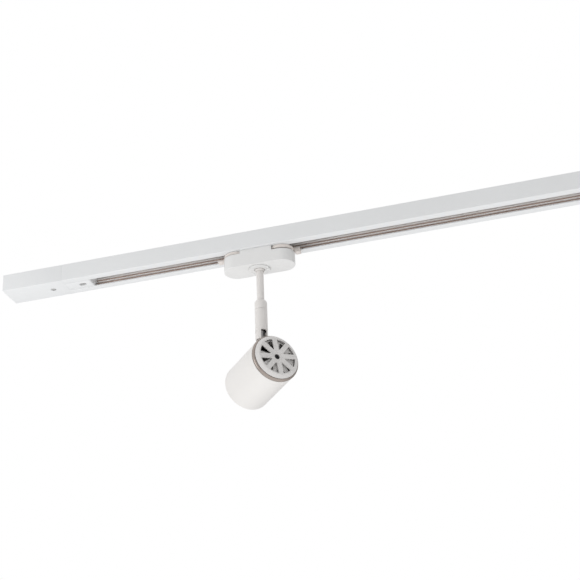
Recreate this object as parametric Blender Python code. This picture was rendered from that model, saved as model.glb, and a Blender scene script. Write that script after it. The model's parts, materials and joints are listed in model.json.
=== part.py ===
"""Track spotlight: a ceiling track with a live end feed, and a lamp head that hangs from a sliding adapter.

Metres, +Z up. The origin is the centre of the track's ceiling face, +X runs along the track away from the
end feed, and the head aims towards -X +Y. Every piece is its own object. The pieces of a moving body are
parented to an empty that stands on the body's joint axis.
"""

from math import asin, cos, pi, radians, sin

import bmesh
import bpy
from mathutils import Matrix, Vector

GAP = 0.0003                     # clearance that separate pieces keep

# Track section and length
TRACK_LENGTH = 1.000
TRACK_WIDTH = 0.035
TRACK_HEIGHT = 0.0205
TRACK_WEB = 0.0018
TRACK_WALL = 0.0016
LIP_THICKNESS = 0.0013
SLOT_WIDTH = 0.017
CORNER_RADIUS = 0.0009
CEILING_SLOT_X = 0.350           # oval holes for the ceiling screws, each side of the middle
CEILING_SLOT_SIZE = (0.009, 0.0045)
CHANNEL_LOW = -TRACK_HEIGHT + LIP_THICKNESS
CHANNEL_HIGH = -TRACK_WEB

# Insulating inserts and the conductors in them. Heights are above the track's underside.
INSERT_FACE_Y = 0.0129
GROOVE_HEIGHT = 0.0018
GROOVE_DEPTH = 0.0020
STRIP_HEIGHT = 0.0012
STRIP_FACE_Y = 0.0131
STRIP_THICKNESS = 0.0014
NEUTRAL_HEIGHT = 0.0051
LINE_HEIGHT = 0.0085
SPARE_HEIGHT = 0.0118            # an empty groove above the two conductors
EARTH_HEIGHT = 0.0070

# End feed
FEED_LENGTH = 0.0733
FEED_WALL = 0.0018
FEED_BASE_THICKNESS = 0.0020
FEED_MOUTH_HALF = 0.0128         # half width of the opening that the tongue leaves by
FEED_TONGUE_END = 0.104          # all end feed stations are measured from its outer end
CABLE_HOLE_AT = 0.020
CABLE_HOLE_RADIUS = 0.006
COVER_SCREW_AT = 0.0562
COVER_SCREW_HEAD = 0.0026
COVER_SCREW_SHANK = 0.0012
COVER_SCREW_LENGTH = 0.0095
COUNTERBORE_DEPTH = 0.0009
POST_RADIUS = 0.0034
POST_BORE_DEPTH = 0.009
TERMINAL_FROM = 0.030
TERMINAL_TO = 0.046
TERMINAL_PITCH = 0.0075
TERMINAL_DEPTH = 0.0100
TERMINAL_WELL_RADIUS = 0.0023
TERMINAL_WELL_DEPTH = 0.0060
LEAD_RADIUS = 0.0008
LEAD_LEVEL = -0.0078
CONNECTOR_FROM = 0.062
TONGUE_HALF_WIDTH = 0.0125
CONTACT_AT = 0.085
CONTACT_LENGTH = 0.012
CONTACT_HALF_HEIGHT = 0.0007
CONTACT_TIP_Y = 0.0128
POCKET_MOUTH_Y = 0.014           # contact pockets are cut out to here, past the sides
BUTTON_AT = 0.0929
BUTTON_SIZE = (0.0082, 0.0052)
BUTTON_RECESS = 0.0010
BUTTON_HEIGHT = 0.0032
BUTTON_WELL = 0.0045

END_CAP_THICKNESS = 0.003
END_CAP_SPIGOT = 0.012
SPIGOT_HALF_WIDTH = 0.0122

# Adapter, in its own frame: origin on the stem axis at the track's underside
ADAPTER_X = -0.2688
ADAPTER_LENGTH = 0.0808
ADAPTER_WIDTH = 0.0292
ADAPTER_HEIGHT = 0.0198
ADAPTER_WALL = 0.0016
ADAPTER_FLOOR = 0.0020
LAND_LENGTH = 0.0364             # middle stretch where the cover reaches the track
LEDGE_DEPTHS = {"left": 0.0040, "right": 0.0058}      # the cover's ends, below the track
LEVER_DEPTHS = {"left": 0.0031, "right": 0.0041}
LEVER_RADII = {"left": 0.0143, "right": 0.0139}
LEVER_OFFSET = (ADAPTER_LENGTH - ADAPTER_WIDTH) / 2
LEVER_NECK_RADIUS = 0.0078
LEVER_PIVOT_RADIUS = 0.0030
LEVER_PIVOT_DEPTH = 0.0125
EAR_REACHES = {"left": 0.0227, "right": 0.0205}       # from the lever's axis
EAR_SPANS = {"left": (-0.0015, 0.0060), "right": (0.0002, 0.0072)}
EAR_DEPTHS = {"left": 0.0031, "right": 0.0060}
FRAME_DEPTH = 0.0042
DOG_SIZE = (0.0084, 0.0236)
DOG_TOP = 0.0060
FRAME_SCREW_AT = (0.0092, -0.0094)
FRAME_SCREW_HEAD = 0.0018
FRAME_SCREW_SHANK = 0.0009
FRAME_SCREW_END = -0.0130

# Selector ring and contact rotor
RING_RADIUS = 0.0118
RING_BORE = 0.0059
RING_PROUD = 0.0012
RING_RECESS = 0.0009
POINTER_DEPTH = 0.0016           # below the ring's face
DRIVE_PIN_AT = 0.0083
DRIVE_PIN_RADIUS = 0.0008
DRIVE_PIN_TOP = -0.0155
DRIVE_SLOT_HALF = 0.0011
ROTOR_RADIUS = 0.0094
ROTOR_BORE = 0.0072
ROTOR_SHAFT_RADIUS = 0.0060
ROTOR_HEAD_SIZE = (0.0120, 0.0244)
ROTOR_HEAD_RANGE = (0.0020, 0.0120)
ROTOR_CONTACT_INNER = 0.0095

# Stem and swivel, depths below the track's underside
STEM_RADIUS = 0.0040
STEM_BORE = 0.0026
STEM_TOP = 0.0130
STEM_NECK_RADIUS = 0.0032
COLLAR_RADIUS = 0.0053
COLLAR_BOTTOM = 0.0230
SLEEVE_RADIUS = 0.0068
SLEEVE_BORE = 0.0053
SLEEVE_CAP_TOP = 0.0582
SLEEVE_CHAMFER = 0.0028
SWIVEL_SEAM = 0.0698
SWIVEL_ROOF = 0.0722
STEM_BOTTOM = 0.0775
HINGE_DEPTH = 0.0972
SLEEVE_BOTTOM = 0.1055
SLEEVE_SLOT_TOP = 0.0953
SLEEVE_SLOT_WIDTH = 0.0070
SLEEVE_SLOT_CORNER = 0.0009
PIN_RADIUS = 0.0015
WASHER_RADIUS = 0.0036
WASHER_THICKNESS = 0.0006
SPACER_THICKNESS = 0.0021
NUT_RADIUS = 0.0064

# Aim of the head in the rest pose
AIM_AZIMUTH = radians(134.7)     # about +Z, from +X
AIM_DIP = radians(6.0)           # below the horizontal

# Head, in the hinge's frame: origin on the hinge pin, +X towards the light, +Z up
HEAD_DROP = 0.0447               # hinge pin to the head's own axis
HINGE_TO_REAR = 0.0246           # hinge pin to the shell's rear edge, along the head
SHELL_LENGTH = 0.0673
SHELL_RADIUS = 0.0267
SHELL_WALL = 0.0015
EYE_RADIUS = 0.0042
LUG_RANGE = (0.0, 0.0024)        # the lug sits to one side of the slot
ARM_HALF_WIDTH = 0.0035
FOOT_SIZE = (0.0180, 0.0090, 0.0016)
FOOT_TOP = -HEAD_DROP + 0.0244
LUG_SCREW_X = 0.0065
LUG_SCREW_HEAD = 0.0021
LUG_SCREW_HOLE = 0.0014
RIM_RADIUS = 0.0269              # reveal ring
RIM_BORE = 0.0236
RIM_BACK = -0.0026
RIM_FRONT = 0.0013
CAP_BASE_RADIUS = 0.0249
CAP_FACE_RADIUS = 0.0217
CAP_FACE_HEIGHT = 0.0065
VENT_COUNT = 8
VENT_PHASE = radians(6.75)       # angle of the first spoke
SPOKE_WIDTH = 0.0053
VENT_INNER = 0.0083
VENT_OUTER = 0.0203
DISH_RADIUS = 0.0066             # shallow dish round the cap's screw
DISH_DEPTH = 0.0017
CAP_SCREW_HEAD = 0.0027
CAP_SCREW_SHANK = 0.0013
CAP_SCREW_END = 0.0100
BAFFLE_RADIUS = 0.0203
BAFFLE_TURN = radians(7)         # beyond half a vent pitch
BAFFLE_OPEN = 0.0192             # outer radius of its own openings
HUB_RADIUS = 0.0052
BAFFLE_RANGE = (-0.0025, -0.0015)
BRACKET_FROM = 0.0070
BRACKET_SHEET = 0.0012
BRACKET_LEG_END = 0.0200
BRACKET_REACH = 0.0243
BRACKET_HALF_WIDTH = 0.0050
HOLDER_RANGE = (0.0085, 0.0185)
HOLDER_RADIUS = 0.0125
LAMP_RANGE = (0.0188, 0.0618)
LAMP_PIN_RANGE = (0.0130, 0.0226)
LAMP_PIN_STEP = 0.0154
LAMP_PIN_RADIUS = 0.0014
LAMP_PIN_FOOT_RADIUS = 0.0024
PIN_PITCH = 0.0100               # lamp pins, centre to centre
FRONT_RING_RANGE = (0.0622, 0.0640)
FRONT_RING_BORE = 0.0226

FINE = 44                        # segments round the head
MEDIUM = 32
SMALL = 20
TINY = 12

OVERCUT = 0.001                  # cutters reach this far past the face that they open


# ---------------------------------------------------------------- materials

def material(name, colour, roughness, metallic=0.0):
    """A Principled material with one colour."""
    made = bpy.data.materials.new(name)
    made.use_nodes = True
    shader = made.node_tree.nodes["Principled BSDF"]
    shader.inputs["Base Color"].default_value = (*colour, 1.0)
    shader.inputs["Roughness"].default_value = roughness
    shader.inputs["Metallic"].default_value = metallic
    made.diffuse_color = (*colour, 1.0)
    return made


def make_materials():
    return {
        "track_white": material("track_white", (0.86, 0.87, 0.87), 0.35),
        "housing_white": material("housing_white", (0.88, 0.87, 0.85), 0.42),
        "head_white": material("head_white", (0.88, 0.86, 0.84), 0.38),
        "insulation": material("insulation", (0.80, 0.77, 0.75), 0.6),
        "copper": material("copper", (0.62, 0.42, 0.33), 0.3, 1.0),
        "steel": material("steel", (0.62, 0.61, 0.60), 0.35, 1.0),
        "nickel": material("nickel", (0.52, 0.47, 0.44), 0.3, 1.0),
        "dark_screw": material("dark_screw", (0.06, 0.06, 0.06), 0.4, 0.6),
        "black_nylon": material("black_nylon", (0.03, 0.03, 0.03), 0.55),
        "ceramic": material("ceramic", (0.85, 0.83, 0.78), 0.5),
        "lamp_silver": material("lamp_silver", (0.75, 0.75, 0.76), 0.25, 1.0),
        "lens": material("lens", (0.90, 0.92, 0.92), 0.1),
    }


# ---------------------------------------------------------------- modelling tools

def add_object(name, bm, look, parent, cutter=False):
    """Links a bmesh as an object under its frame, with smooth shading between sharp edges."""
    bmesh.ops.recalc_face_normals(bm, faces=bm.faces)
    mesh = bpy.data.meshes.new(name)
    bm.to_mesh(mesh)
    bm.free()
    mesh.shade_smooth()
    mesh.set_sharp_from_angle(angle=radians(35))
    obj = bpy.data.objects.new(name, mesh)
    bpy.context.collection.objects.link(obj)
    obj.parent = parent
    if look:
        mesh.materials.append(look)
    if cutter:
        obj.hide_render = True
        obj.display_type = "WIRE"
    return obj


def add_frame(name, parent=None, location=(0, 0, 0), rotation=(0, 0, 0)):
    """An empty that carries a body. Its origin is on the body's joint axis."""
    empty = bpy.data.objects.new(name, None)
    bpy.context.collection.objects.link(empty)
    empty.parent = parent
    empty.location = location
    empty.rotation_euler = rotation
    return empty


def cut(obj, tool_bm, operation="DIFFERENCE"):
    """Adds a Boolean with a hidden tool, which rides with the object."""
    count = len(obj.modifiers) + 1
    tool = add_object(f"{obj.name}_tool_{count}", tool_bm, None, obj.parent, cutter=True)
    modifier = obj.modifiers.new(f"{operation.lower()}_{count}", "BOOLEAN")
    modifier.operation = operation
    modifier.solver = "EXACT"
    modifier.object = tool


def join(obj, tool_bm):
    cut(obj, tool_bm, "UNION")


def prism(outline, low, high, axis="Z"):
    """Extrudes a closed 2-D outline between two stations along an axis.

    The outline's pairs are (x, y) along Z, (y, z) along X and (x, z) along Y.
    """
    place = {
        "Z": lambda a, b, c: (a, b, c),
        "X": lambda a, b, c: (c, a, b),
        "Y": lambda a, b, c: (a, c, b),
    }[axis]
    bm = bmesh.new()
    ring = [bm.verts.new(place(a, b, low)) for a, b in outline]
    face = bm.faces.new(ring)
    grown = bmesh.ops.extrude_face_region(bm, geom=[face])
    moved = [item for item in grown["geom"] if isinstance(item, bmesh.types.BMVert)]
    bmesh.ops.translate(bm, verts=moved, vec=Vector(place(0, 0, high)) - Vector(place(0, 0, low)))
    bmesh.ops.recalc_face_normals(bm, faces=bm.faces)
    return bm


def block(x, y, z):
    """A box from (low, high) pairs."""
    return prism([(x[0], y[0]), (x[1], y[0]), (x[1], y[1]), (x[0], y[1])], *z)


def turned(profile, segments, axis="Z", centre=(0, 0, 0)):
    """Revolves a closed outline of (radius, height) points about an axis through centre."""
    bm = bmesh.new()
    ring = [bm.verts.new((radius, 0, height)) for radius, height in profile]
    edges = [bm.edges.new((a, b)) for a, b in zip(ring, ring[1:] + ring[:1])]
    bmesh.ops.spin(bm, geom=ring + edges, cent=(0, 0, 0), axis=(0, 0, 1), angle=2 * pi, steps=segments,
                   use_merge=True, use_duplicate=False)
    bmesh.ops.remove_doubles(bm, verts=bm.verts, dist=1e-6)
    on_axis = [edge for edge in bm.edges if not edge.link_faces]
    bmesh.ops.delete(bm, geom=on_axis, context="EDGES")
    turn = {
        "Z": Matrix(),
        "X": Matrix.Rotation(pi / 2, 4, "Y"),
        "Y": Matrix.Rotation(-pi / 2, 4, "X"),
    }[axis]
    bmesh.ops.transform(bm, matrix=Matrix.Translation(centre) @ turn, verts=bm.verts)
    bmesh.ops.recalc_face_normals(bm, faces=bm.faces)
    return bm


def cylinder(radius, low, high, segments=SMALL, axis="Z", centre=(0, 0, 0)):
    return turned([(0, high), (radius, high), (radius, low), (0, low)], segments, axis, centre)


def tube(outer, inner, low, high, segments=SMALL, axis="Z", centre=(0, 0, 0)):
    return turned([(inner, high), (outer, high), (outer, low), (inner, low)], segments, axis, centre)


def arc(centre, radius, start, end, steps):
    """Points on a circle from one angle to another, both ends included."""
    angles = [start + (end - start) * step / steps for step in range(steps + 1)]
    return [(centre[0] + radius * cos(angle), centre[1] + radius * sin(angle)) for angle in angles]


def stadium(length, width, steps=14, centre=(0, 0)):
    """An oblong with round ends, its long side along the first axis."""
    radius = width / 2
    reach = length / 2 - radius
    right = arc((centre[0] + reach, centre[1]), radius, -pi / 2, pi / 2, steps)
    left = arc((centre[0] - reach, centre[1]), radius, pi / 2, 3 * pi / 2, steps)
    return right + left


def rounded_outline(corners, radius, steps=3):
    """A rectangle outline (low a, high a, low b, high b) with rounded corners."""
    low_a, high_a, low_b, high_b = corners
    quarters = [
        (high_a - radius, low_b + radius, -pi / 2),
        (high_a - radius, high_b - radius, 0),
        (low_a + radius, high_b - radius, pi / 2),
        (low_a + radius, low_b + radius, pi),
    ]
    outline = []
    for a, b, start in quarters:
        outline += arc((a, b), radius, start, start + pi / 2, steps)
    return outline


def clipped_bar(size, radius, steps=4):
    """The outline of a bar across Y whose ends lie on a circle about the origin."""
    half_x = size[0] / 2
    spread = asin(half_x / radius)
    top = arc((0, 0), radius, pi / 2 - spread, pi / 2 + spread, steps)
    bottom = arc((0, 0), radius, -pi / 2 - spread, -pi / 2 + spread, steps)
    return top + bottom


def merged(*parts):
    """One bmesh that holds several closed bodies, for use as a cutter."""
    total = bmesh.new()
    for part in parts:
        mesh = bpy.data.meshes.new("merge")
        part.to_mesh(mesh)
        part.free()
        total.from_mesh(mesh)
        bpy.data.meshes.remove(mesh)
    return total


def cross_recess(radius, low, high, axis="Z", centre=(0, 0, 0)):
    """The two crossed slots of a Phillips screw, as one closed outline."""
    half = radius * 0.24
    outline = []
    for quarter in range(4):
        turn = quarter * pi / 2
        for a, b in ((half, -half), (radius, -half), (radius, half)):
            outline.append((a * cos(turn) - b * sin(turn), a * sin(turn) + b * cos(turn)))
    bm = prism(outline, low, high)
    turn = {"Z": Matrix(), "X": Matrix.Rotation(pi / 2, 4, "Y")}[axis]
    bmesh.ops.transform(bm, matrix=Matrix.Translation(centre) @ turn, verts=bm.verts)
    return bm


def screw(name, look, frame, head_radius, head, shank_radius, shank_end, place, axis="Z"):
    """A pan-head screw along an axis. head holds the station of its top and the station of its seat."""
    top, seat = head
    inward = 1 if seat > top else -1
    shoulder = top + inward * 0.5 * abs(seat - top)
    profile = [
        (0, top), (head_radius * 0.8, top), (head_radius, shoulder), (head_radius, seat),
        (shank_radius, seat), (shank_radius, shank_end), (0, shank_end),
    ]
    made = add_object(name, turned(profile, TINY, axis, place), look, frame)
    depth = top + inward * 0.6 * abs(seat - top)
    low, high = sorted((depth, top - inward * 0.001))
    cut(made, cross_recess(head_radius * 0.62, low, high, axis, place))
    return made


# ---------------------------------------------------------------- track

def track_section():
    """The extrusion's C-shaped outline, as (y, z), open downwards."""
    half = TRACK_WIDTH / 2
    inner = half - TRACK_WALL
    slot = SLOT_WIDTH / 2
    floor = -TRACK_HEIGHT
    right = arc((half - CORNER_RADIUS, floor + CORNER_RADIUS), CORNER_RADIUS, -pi / 2, 0, 3)
    left = arc((-half + CORNER_RADIUS, floor + CORNER_RADIUS), CORNER_RADIUS, pi, 3 * pi / 2, 3)
    cavity = [
        (-slot, floor), (-slot, CHANNEL_LOW), (-inner, CHANNEL_LOW), (-inner, CHANNEL_HIGH),
        (inner, CHANNEL_HIGH), (inner, CHANNEL_LOW), (slot, CHANNEL_LOW), (slot, floor),
    ]
    return right + [(half, 0), (-half, 0)] + left + cavity


def make_track_profile(look, frame):
    body = prism(track_section(), -TRACK_LENGTH / 2, TRACK_LENGTH / 2, "X")
    track = add_object("track_profile", body, look, frame)
    holes = []
    for side in (-1, 1):
        outline = stadium(*CEILING_SLOT_SIZE, steps=6, centre=(side * CEILING_SLOT_X, 0))
        holes.append(prism(outline, -TRACK_WEB * 2, OVERCUT))
    cut(track, merged(*holes))


def insert_section(side, heights):
    """A grooved insert against one side wall, as (y, z)."""
    wall = TRACK_WIDTH / 2 - TRACK_WALL - GAP
    low = CHANNEL_LOW + GAP
    high = CHANNEL_HIGH - GAP
    outline = [(wall, high), (INSERT_FACE_Y, high)]
    for height in sorted(heights, reverse=True):
        middle = height - TRACK_HEIGHT
        top = middle + GROOVE_HEIGHT / 2
        bottom = middle - GROOVE_HEIGHT / 2
        back = INSERT_FACE_Y + GROOVE_DEPTH
        outline += [(INSERT_FACE_Y, top), (back, top), (back, bottom), (INSERT_FACE_Y, bottom)]
    outline += [(INSERT_FACE_Y, low), (wall, low)]
    return [(side * y, z) for y, z in outline]


def make_inserts(look, frame):
    rails = {
        "insulator_rear": (1, (NEUTRAL_HEIGHT, LINE_HEIGHT, SPARE_HEIGHT)),
        "insulator_front": (-1, (EARTH_HEIGHT,)),
    }
    for name, (side, heights) in rails.items():
        section = insert_section(side, heights)
        add_object(name, prism(section, -TRACK_LENGTH / 2, TRACK_LENGTH / 2, "X"), look, frame)


def make_strips(look, frame):
    strips = {
        "conductor_line": (1, LINE_HEIGHT),
        "conductor_neutral": (1, NEUTRAL_HEIGHT),
        "earth_strip": (-1, EARTH_HEIGHT),
    }
    for name, (side, height) in strips.items():
        y = sorted((side * STRIP_FACE_Y, side * (STRIP_FACE_Y + STRIP_THICKNESS)))
        middle = height - TRACK_HEIGHT
        z = (middle - STRIP_HEIGHT / 2, middle + STRIP_HEIGHT / 2)
        add_object(name, block((-TRACK_LENGTH / 2, TRACK_LENGTH / 2), y, z), look, frame)


def make_end_cap(look, frame):
    half = TRACK_WIDTH / 2
    face = TRACK_LENGTH / 2 + GAP
    outline = rounded_outline((-half, half, -TRACK_HEIGHT, 0), CORNER_RADIUS)
    cap = add_object("end_cap", prism(outline, face, face + END_CAP_THICKNESS, "X"), look, frame)
    inner = (face - END_CAP_SPIGOT, face + END_CAP_THICKNESS / 2)
    height = (CHANNEL_LOW + 2 * GAP, CHANNEL_HIGH - 2 * GAP)
    join(cap, block(inner, (-SPIGOT_HALF_WIDTH, SPIGOT_HALF_WIDTH), height))


# ---------------------------------------------------------------- end feed

def feed_x(station):
    """Row X of a station measured from the end feed's outer end."""
    return station - FEED_LENGTH - GAP - TRACK_LENGTH / 2


def make_feed_cover(look, frame):
    half = TRACK_WIDTH / 2
    outline = rounded_outline((-half, half, -TRACK_HEIGHT, 0), CORNER_RADIUS)
    cover = add_object("end_feed_cover", prism(outline, feed_x(0), feed_x(FEED_LENGTH), "X"), look, frame)
    inside = (feed_x(FEED_WALL), feed_x(FEED_LENGTH - FEED_WALL))
    wide = half - FEED_WALL
    cut(cover, block(inside, (-wide, wide), (-TRACK_HEIGHT + FEED_WALL, OVERCUT)))
    mouth = (feed_x(FEED_LENGTH - 2 * FEED_WALL), feed_x(FEED_LENGTH + FEED_WALL))
    mouth_high = CHANNEL_HIGH - 0.0001
    cut(cover, block(mouth, (-FEED_MOUTH_HALF, FEED_MOUTH_HALF), (-TRACK_HEIGHT + FEED_WALL, mouth_high)))
    hole = COVER_SCREW_SHANK + 0.0004
    bore = COVER_SCREW_HEAD + 0.0004
    counterbore = [
        (0, 2 * FEED_WALL), (hole, 2 * FEED_WALL), (hole, COUNTERBORE_DEPTH),
        (bore, COUNTERBORE_DEPTH), (bore, -OVERCUT), (0, -OVERCUT),
    ]
    cut(cover, turned(counterbore, SMALL, "Z", (feed_x(COVER_SCREW_AT), 0, -TRACK_HEIGHT)))


def make_feed_base(look, frame):
    wide = TRACK_WIDTH / 2 - FEED_WALL - GAP
    length = (feed_x(FEED_WALL + GAP), feed_x(FEED_LENGTH - FEED_WALL - GAP))
    plate = block(length, (-wide, wide), (-FEED_BASE_THICKNESS, 0))
    base = add_object("end_feed_base", plate, look, frame)
    bottom = -TRACK_HEIGHT + FEED_WALL + GAP
    top = -FEED_BASE_THICKNESS / 2
    bore = COVER_SCREW_SHANK + GAP
    bore_end = bottom + POST_BORE_DEPTH
    post = [
        (0, top), (POST_RADIUS, top), (POST_RADIUS, bottom), (bore, bottom), (bore, bore_end), (0, bore_end),
    ]
    join(base, turned(post, TINY, "Z", (feed_x(COVER_SCREW_AT), 0, 0)))
    cable_at = (feed_x(CABLE_HOLE_AT), 0, 0)
    cut(base, cylinder(CABLE_HOLE_RADIUS, -2 * FEED_BASE_THICKNESS, OVERCUT, SMALL, "Z", cable_at))


def make_cover_screw(look, frame):
    floor = -TRACK_HEIGHT
    place = (feed_x(COVER_SCREW_AT), 0, 0)
    head = (floor - 0.0004, floor + COUNTERBORE_DEPTH - GAP)
    end = floor + COVER_SCREW_LENGTH
    screw("end_feed_screw", look, frame, COVER_SCREW_HEAD, head, COVER_SCREW_SHANK, end, place)


def make_terminal_block(body_look, screw_look, frame):
    top = -FEED_BASE_THICKNESS - GAP
    bottom = top - TERMINAL_DEPTH
    half = 1.5 * TERMINAL_PITCH
    x = (feed_x(TERMINAL_FROM), feed_x(TERMINAL_TO))
    terminal = add_object("terminal_block", block(x, (-half, half), (bottom, top)), body_look, frame)
    middle = (x[0] + x[1]) / 2
    wells = []
    for number, row in enumerate((-1, 0, 1), start=1):
        place = (middle, row * TERMINAL_PITCH, 0)
        well_end = bottom + TERMINAL_WELL_DEPTH
        wells.append(cylinder(TERMINAL_WELL_RADIUS, bottom - OVERCUT, well_end, TINY, "Z", place))
        head = (bottom + 0.0008, bottom + 0.0024)
        end = well_end - 0.0005
        name = f"terminal_screw_{number}"
        screw(name, screw_look, frame, TERMINAL_WELL_RADIUS - 0.0004, head, 0.0012, end, place)
    cut(terminal, merged(*wells))


CONTACT_SIDES = {"line": (1, LINE_HEIGHT), "neutral": (1, NEUTRAL_HEIGHT), "earth": (-1, EARTH_HEIGHT)}


def make_contacts(prefix, along, root_y, low, look, frame):
    """One copper contact per conductor, reaching out sideways. Returns the pockets to cut for them."""
    pockets = []
    for name, (side, height) in CONTACT_SIDES.items():
        y = sorted((side * root_y, side * CONTACT_TIP_Y))
        z = (low + height - CONTACT_HALF_HEIGHT, low + height + CONTACT_HALF_HEIGHT)
        add_object(f"{prefix}_{name}", block(along, y, z), look, frame)
        mouth = sorted((side * (root_y - GAP), side * POCKET_MOUTH_Y))
        pockets.append(block((along[0] - GAP, along[1] + GAP), mouth, (z[0] - GAP, z[1] + GAP)))
    return merged(*pockets)


def make_feed_connector(look, copper, frame):
    """The tongue that enters the track, fills the first stretch of its slot and carries three contacts."""
    floor = -TRACK_HEIGHT
    shoulder = CHANNEL_LOW + GAP
    top = CHANNEL_HIGH - 2 * GAP
    wide = TONGUE_HALF_WIDTH
    slot = SLOT_WIDTH / 2 - GAP
    section = [
        (-slot, floor), (slot, floor), (slot, shoulder), (wide, shoulder),
        (wide, top), (-wide, top), (-wide, shoulder), (-slot, shoulder),
    ]
    x = (feed_x(CONNECTOR_FROM), feed_x(FEED_TONGUE_END))
    tongue = add_object("feed_connector", prism(section, *x, "X"), look, frame)
    heel = floor + FEED_WALL + GAP
    inside_cover = (x[0] - OVERCUT, feed_x(FEED_LENGTH + GAP))
    cut(tongue, block(inside_cover, (-TRACK_WIDTH / 2, TRACK_WIDTH / 2), (floor - OVERCUT, heel)))
    well = stadium(BUTTON_SIZE[0] + 2 * GAP, BUTTON_SIZE[1] + 2 * GAP, 8, (feed_x(BUTTON_AT), 0))
    cut(tongue, prism(well, floor - OVERCUT, floor + BUTTON_WELL))
    along = (feed_x(CONTACT_AT), feed_x(CONTACT_AT + CONTACT_LENGTH))
    cut(tongue, make_contacts("feed_contact", along, TONGUE_HALF_WIDTH - 0.0013, floor, copper, frame))


def make_feed_button(look, frame):
    """The oval push button in the tongue's underside, drawn about its own frame."""
    outline = stadium(*BUTTON_SIZE, steps=8)
    button = prism(outline, BUTTON_RECESS, BUTTON_HEIGHT)
    rim = [edge for edge in button.edges if all(vert.co.z < BUTTON_RECESS + 1e-5 for vert in edge.verts)]
    bmesh.ops.bevel(button, geom=rim, offset=0.0005, segments=1, affect="EDGES")
    add_object("feed_button", button, look, frame)


def make_feed_leads(look, frame):
    """Three short insulated leads from the terminal block to the connector, round the screw post."""
    start = feed_x(TERMINAL_TO + 0.0004)
    end = feed_x(CONNECTOR_FROM - 0.0004)
    post = feed_x(COVER_SCREW_AT)
    routes = {"earth": (-TERMINAL_PITCH, -0.0078), "neutral": (0.0, 0.0064), "line": (TERMINAL_PITCH, 0.0104)}
    steps = 7
    for name, (y_from, y_to) in routes.items():
        curve = bpy.data.curves.new(f"feed_lead_{name}", "CURVE")
        curve.dimensions = "3D"
        curve.bevel_depth = LEAD_RADIUS
        curve.bevel_resolution = 2
        curve.use_fill_caps = True
        spline = curve.splines.new("POLY")
        spline.points.add(steps)
        for step, point in enumerate(spline.points):
            along = step / steps
            swing = min(1.0, along * (end - start) / (post - start - POST_RADIUS - 0.0001))
            blend = swing * swing * (3 - 2 * swing)
            point.co = (start + along * (end - start), y_from + blend * (y_to - y_from), LEAD_LEVEL, 1)
        curve.materials.append(look)
        lead = bpy.data.objects.new(curve.name, curve)
        bpy.context.collection.objects.link(lead)
        lead.parent = frame


# ---------------------------------------------------------------- adapter

SIDES = {"left": -1, "right": 1}


def make_adapter_cover(look, frame):
    bottom = -ADAPTER_HEIGHT
    body = prism(stadium(ADAPTER_LENGTH, ADAPTER_WIDTH), bottom, -GAP)
    rim = [edge for edge in body.edges if all(vert.co.z < bottom + 1e-5 for vert in edge.verts)]
    bmesh.ops.bevel(body, geom=rim, offset=0.0005, segments=1, affect="EDGES")
    cover = add_object("adapter_cover", body, look, frame)
    reach = ADAPTER_LENGTH / 2 + 0.001
    wide = ADAPTER_WIDTH / 2 + 0.001
    ends = [
        block((LAND_LENGTH / 2, reach), (-wide, wide), (-LEDGE_DEPTHS["right"], OVERCUT)),
        block((-reach, -LAND_LENGTH / 2), (-wide, wide), (-LEDGE_DEPTHS["left"], OVERCUT)),
    ]
    cut(cover, merged(*ends))
    floor = bottom + ADAPTER_FLOOR
    cavity = stadium(ADAPTER_LENGTH - 2 * ADAPTER_WALL, ADAPTER_WIDTH - 2 * ADAPTER_WALL)
    cut(cover, prism(cavity, floor, 2 * OVERCUT))
    root = floor - ADAPTER_FLOOR / 4
    for name, side in SIDES.items():
        place = (side * LEVER_OFFSET, 0, 0)
        bore = LEVER_PIVOT_RADIUS + GAP
        join(cover, tube(bore + 0.0019, bore, root, -LEVER_DEPTHS[name] - 2 * GAP, SMALL, "Z", place))
    for side in (-1, 1):
        place = (side * FRAME_SCREW_AT[0], side * FRAME_SCREW_AT[1], 0)
        bore = FRAME_SCREW_SHANK + GAP
        join(cover, tube(bore + 0.0016, bore, root, -FRAME_DEPTH - GAP, TINY, "Z", place))
    recess_end = bottom + RING_RECESS
    cut(cover, tube(RING_RADIUS + GAP, RING_BORE - GAP, bottom - OVERCUT, recess_end, MEDIUM))
    slot_ends = (radians(170), radians(280))
    slot = arc((0, 0), DRIVE_PIN_AT - DRIVE_SLOT_HALF, *slot_ends, 10)
    slot += arc((0, 0), DRIVE_PIN_AT + DRIVE_SLOT_HALF, *reversed(slot_ends), 10)
    cut(cover, prism(slot, bottom - OVERCUT, floor + OVERCUT))
    cut(cover, cylinder(STEM_RADIUS + GAP, bottom - OVERCUT, floor + OVERCUT, SMALL))


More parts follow.
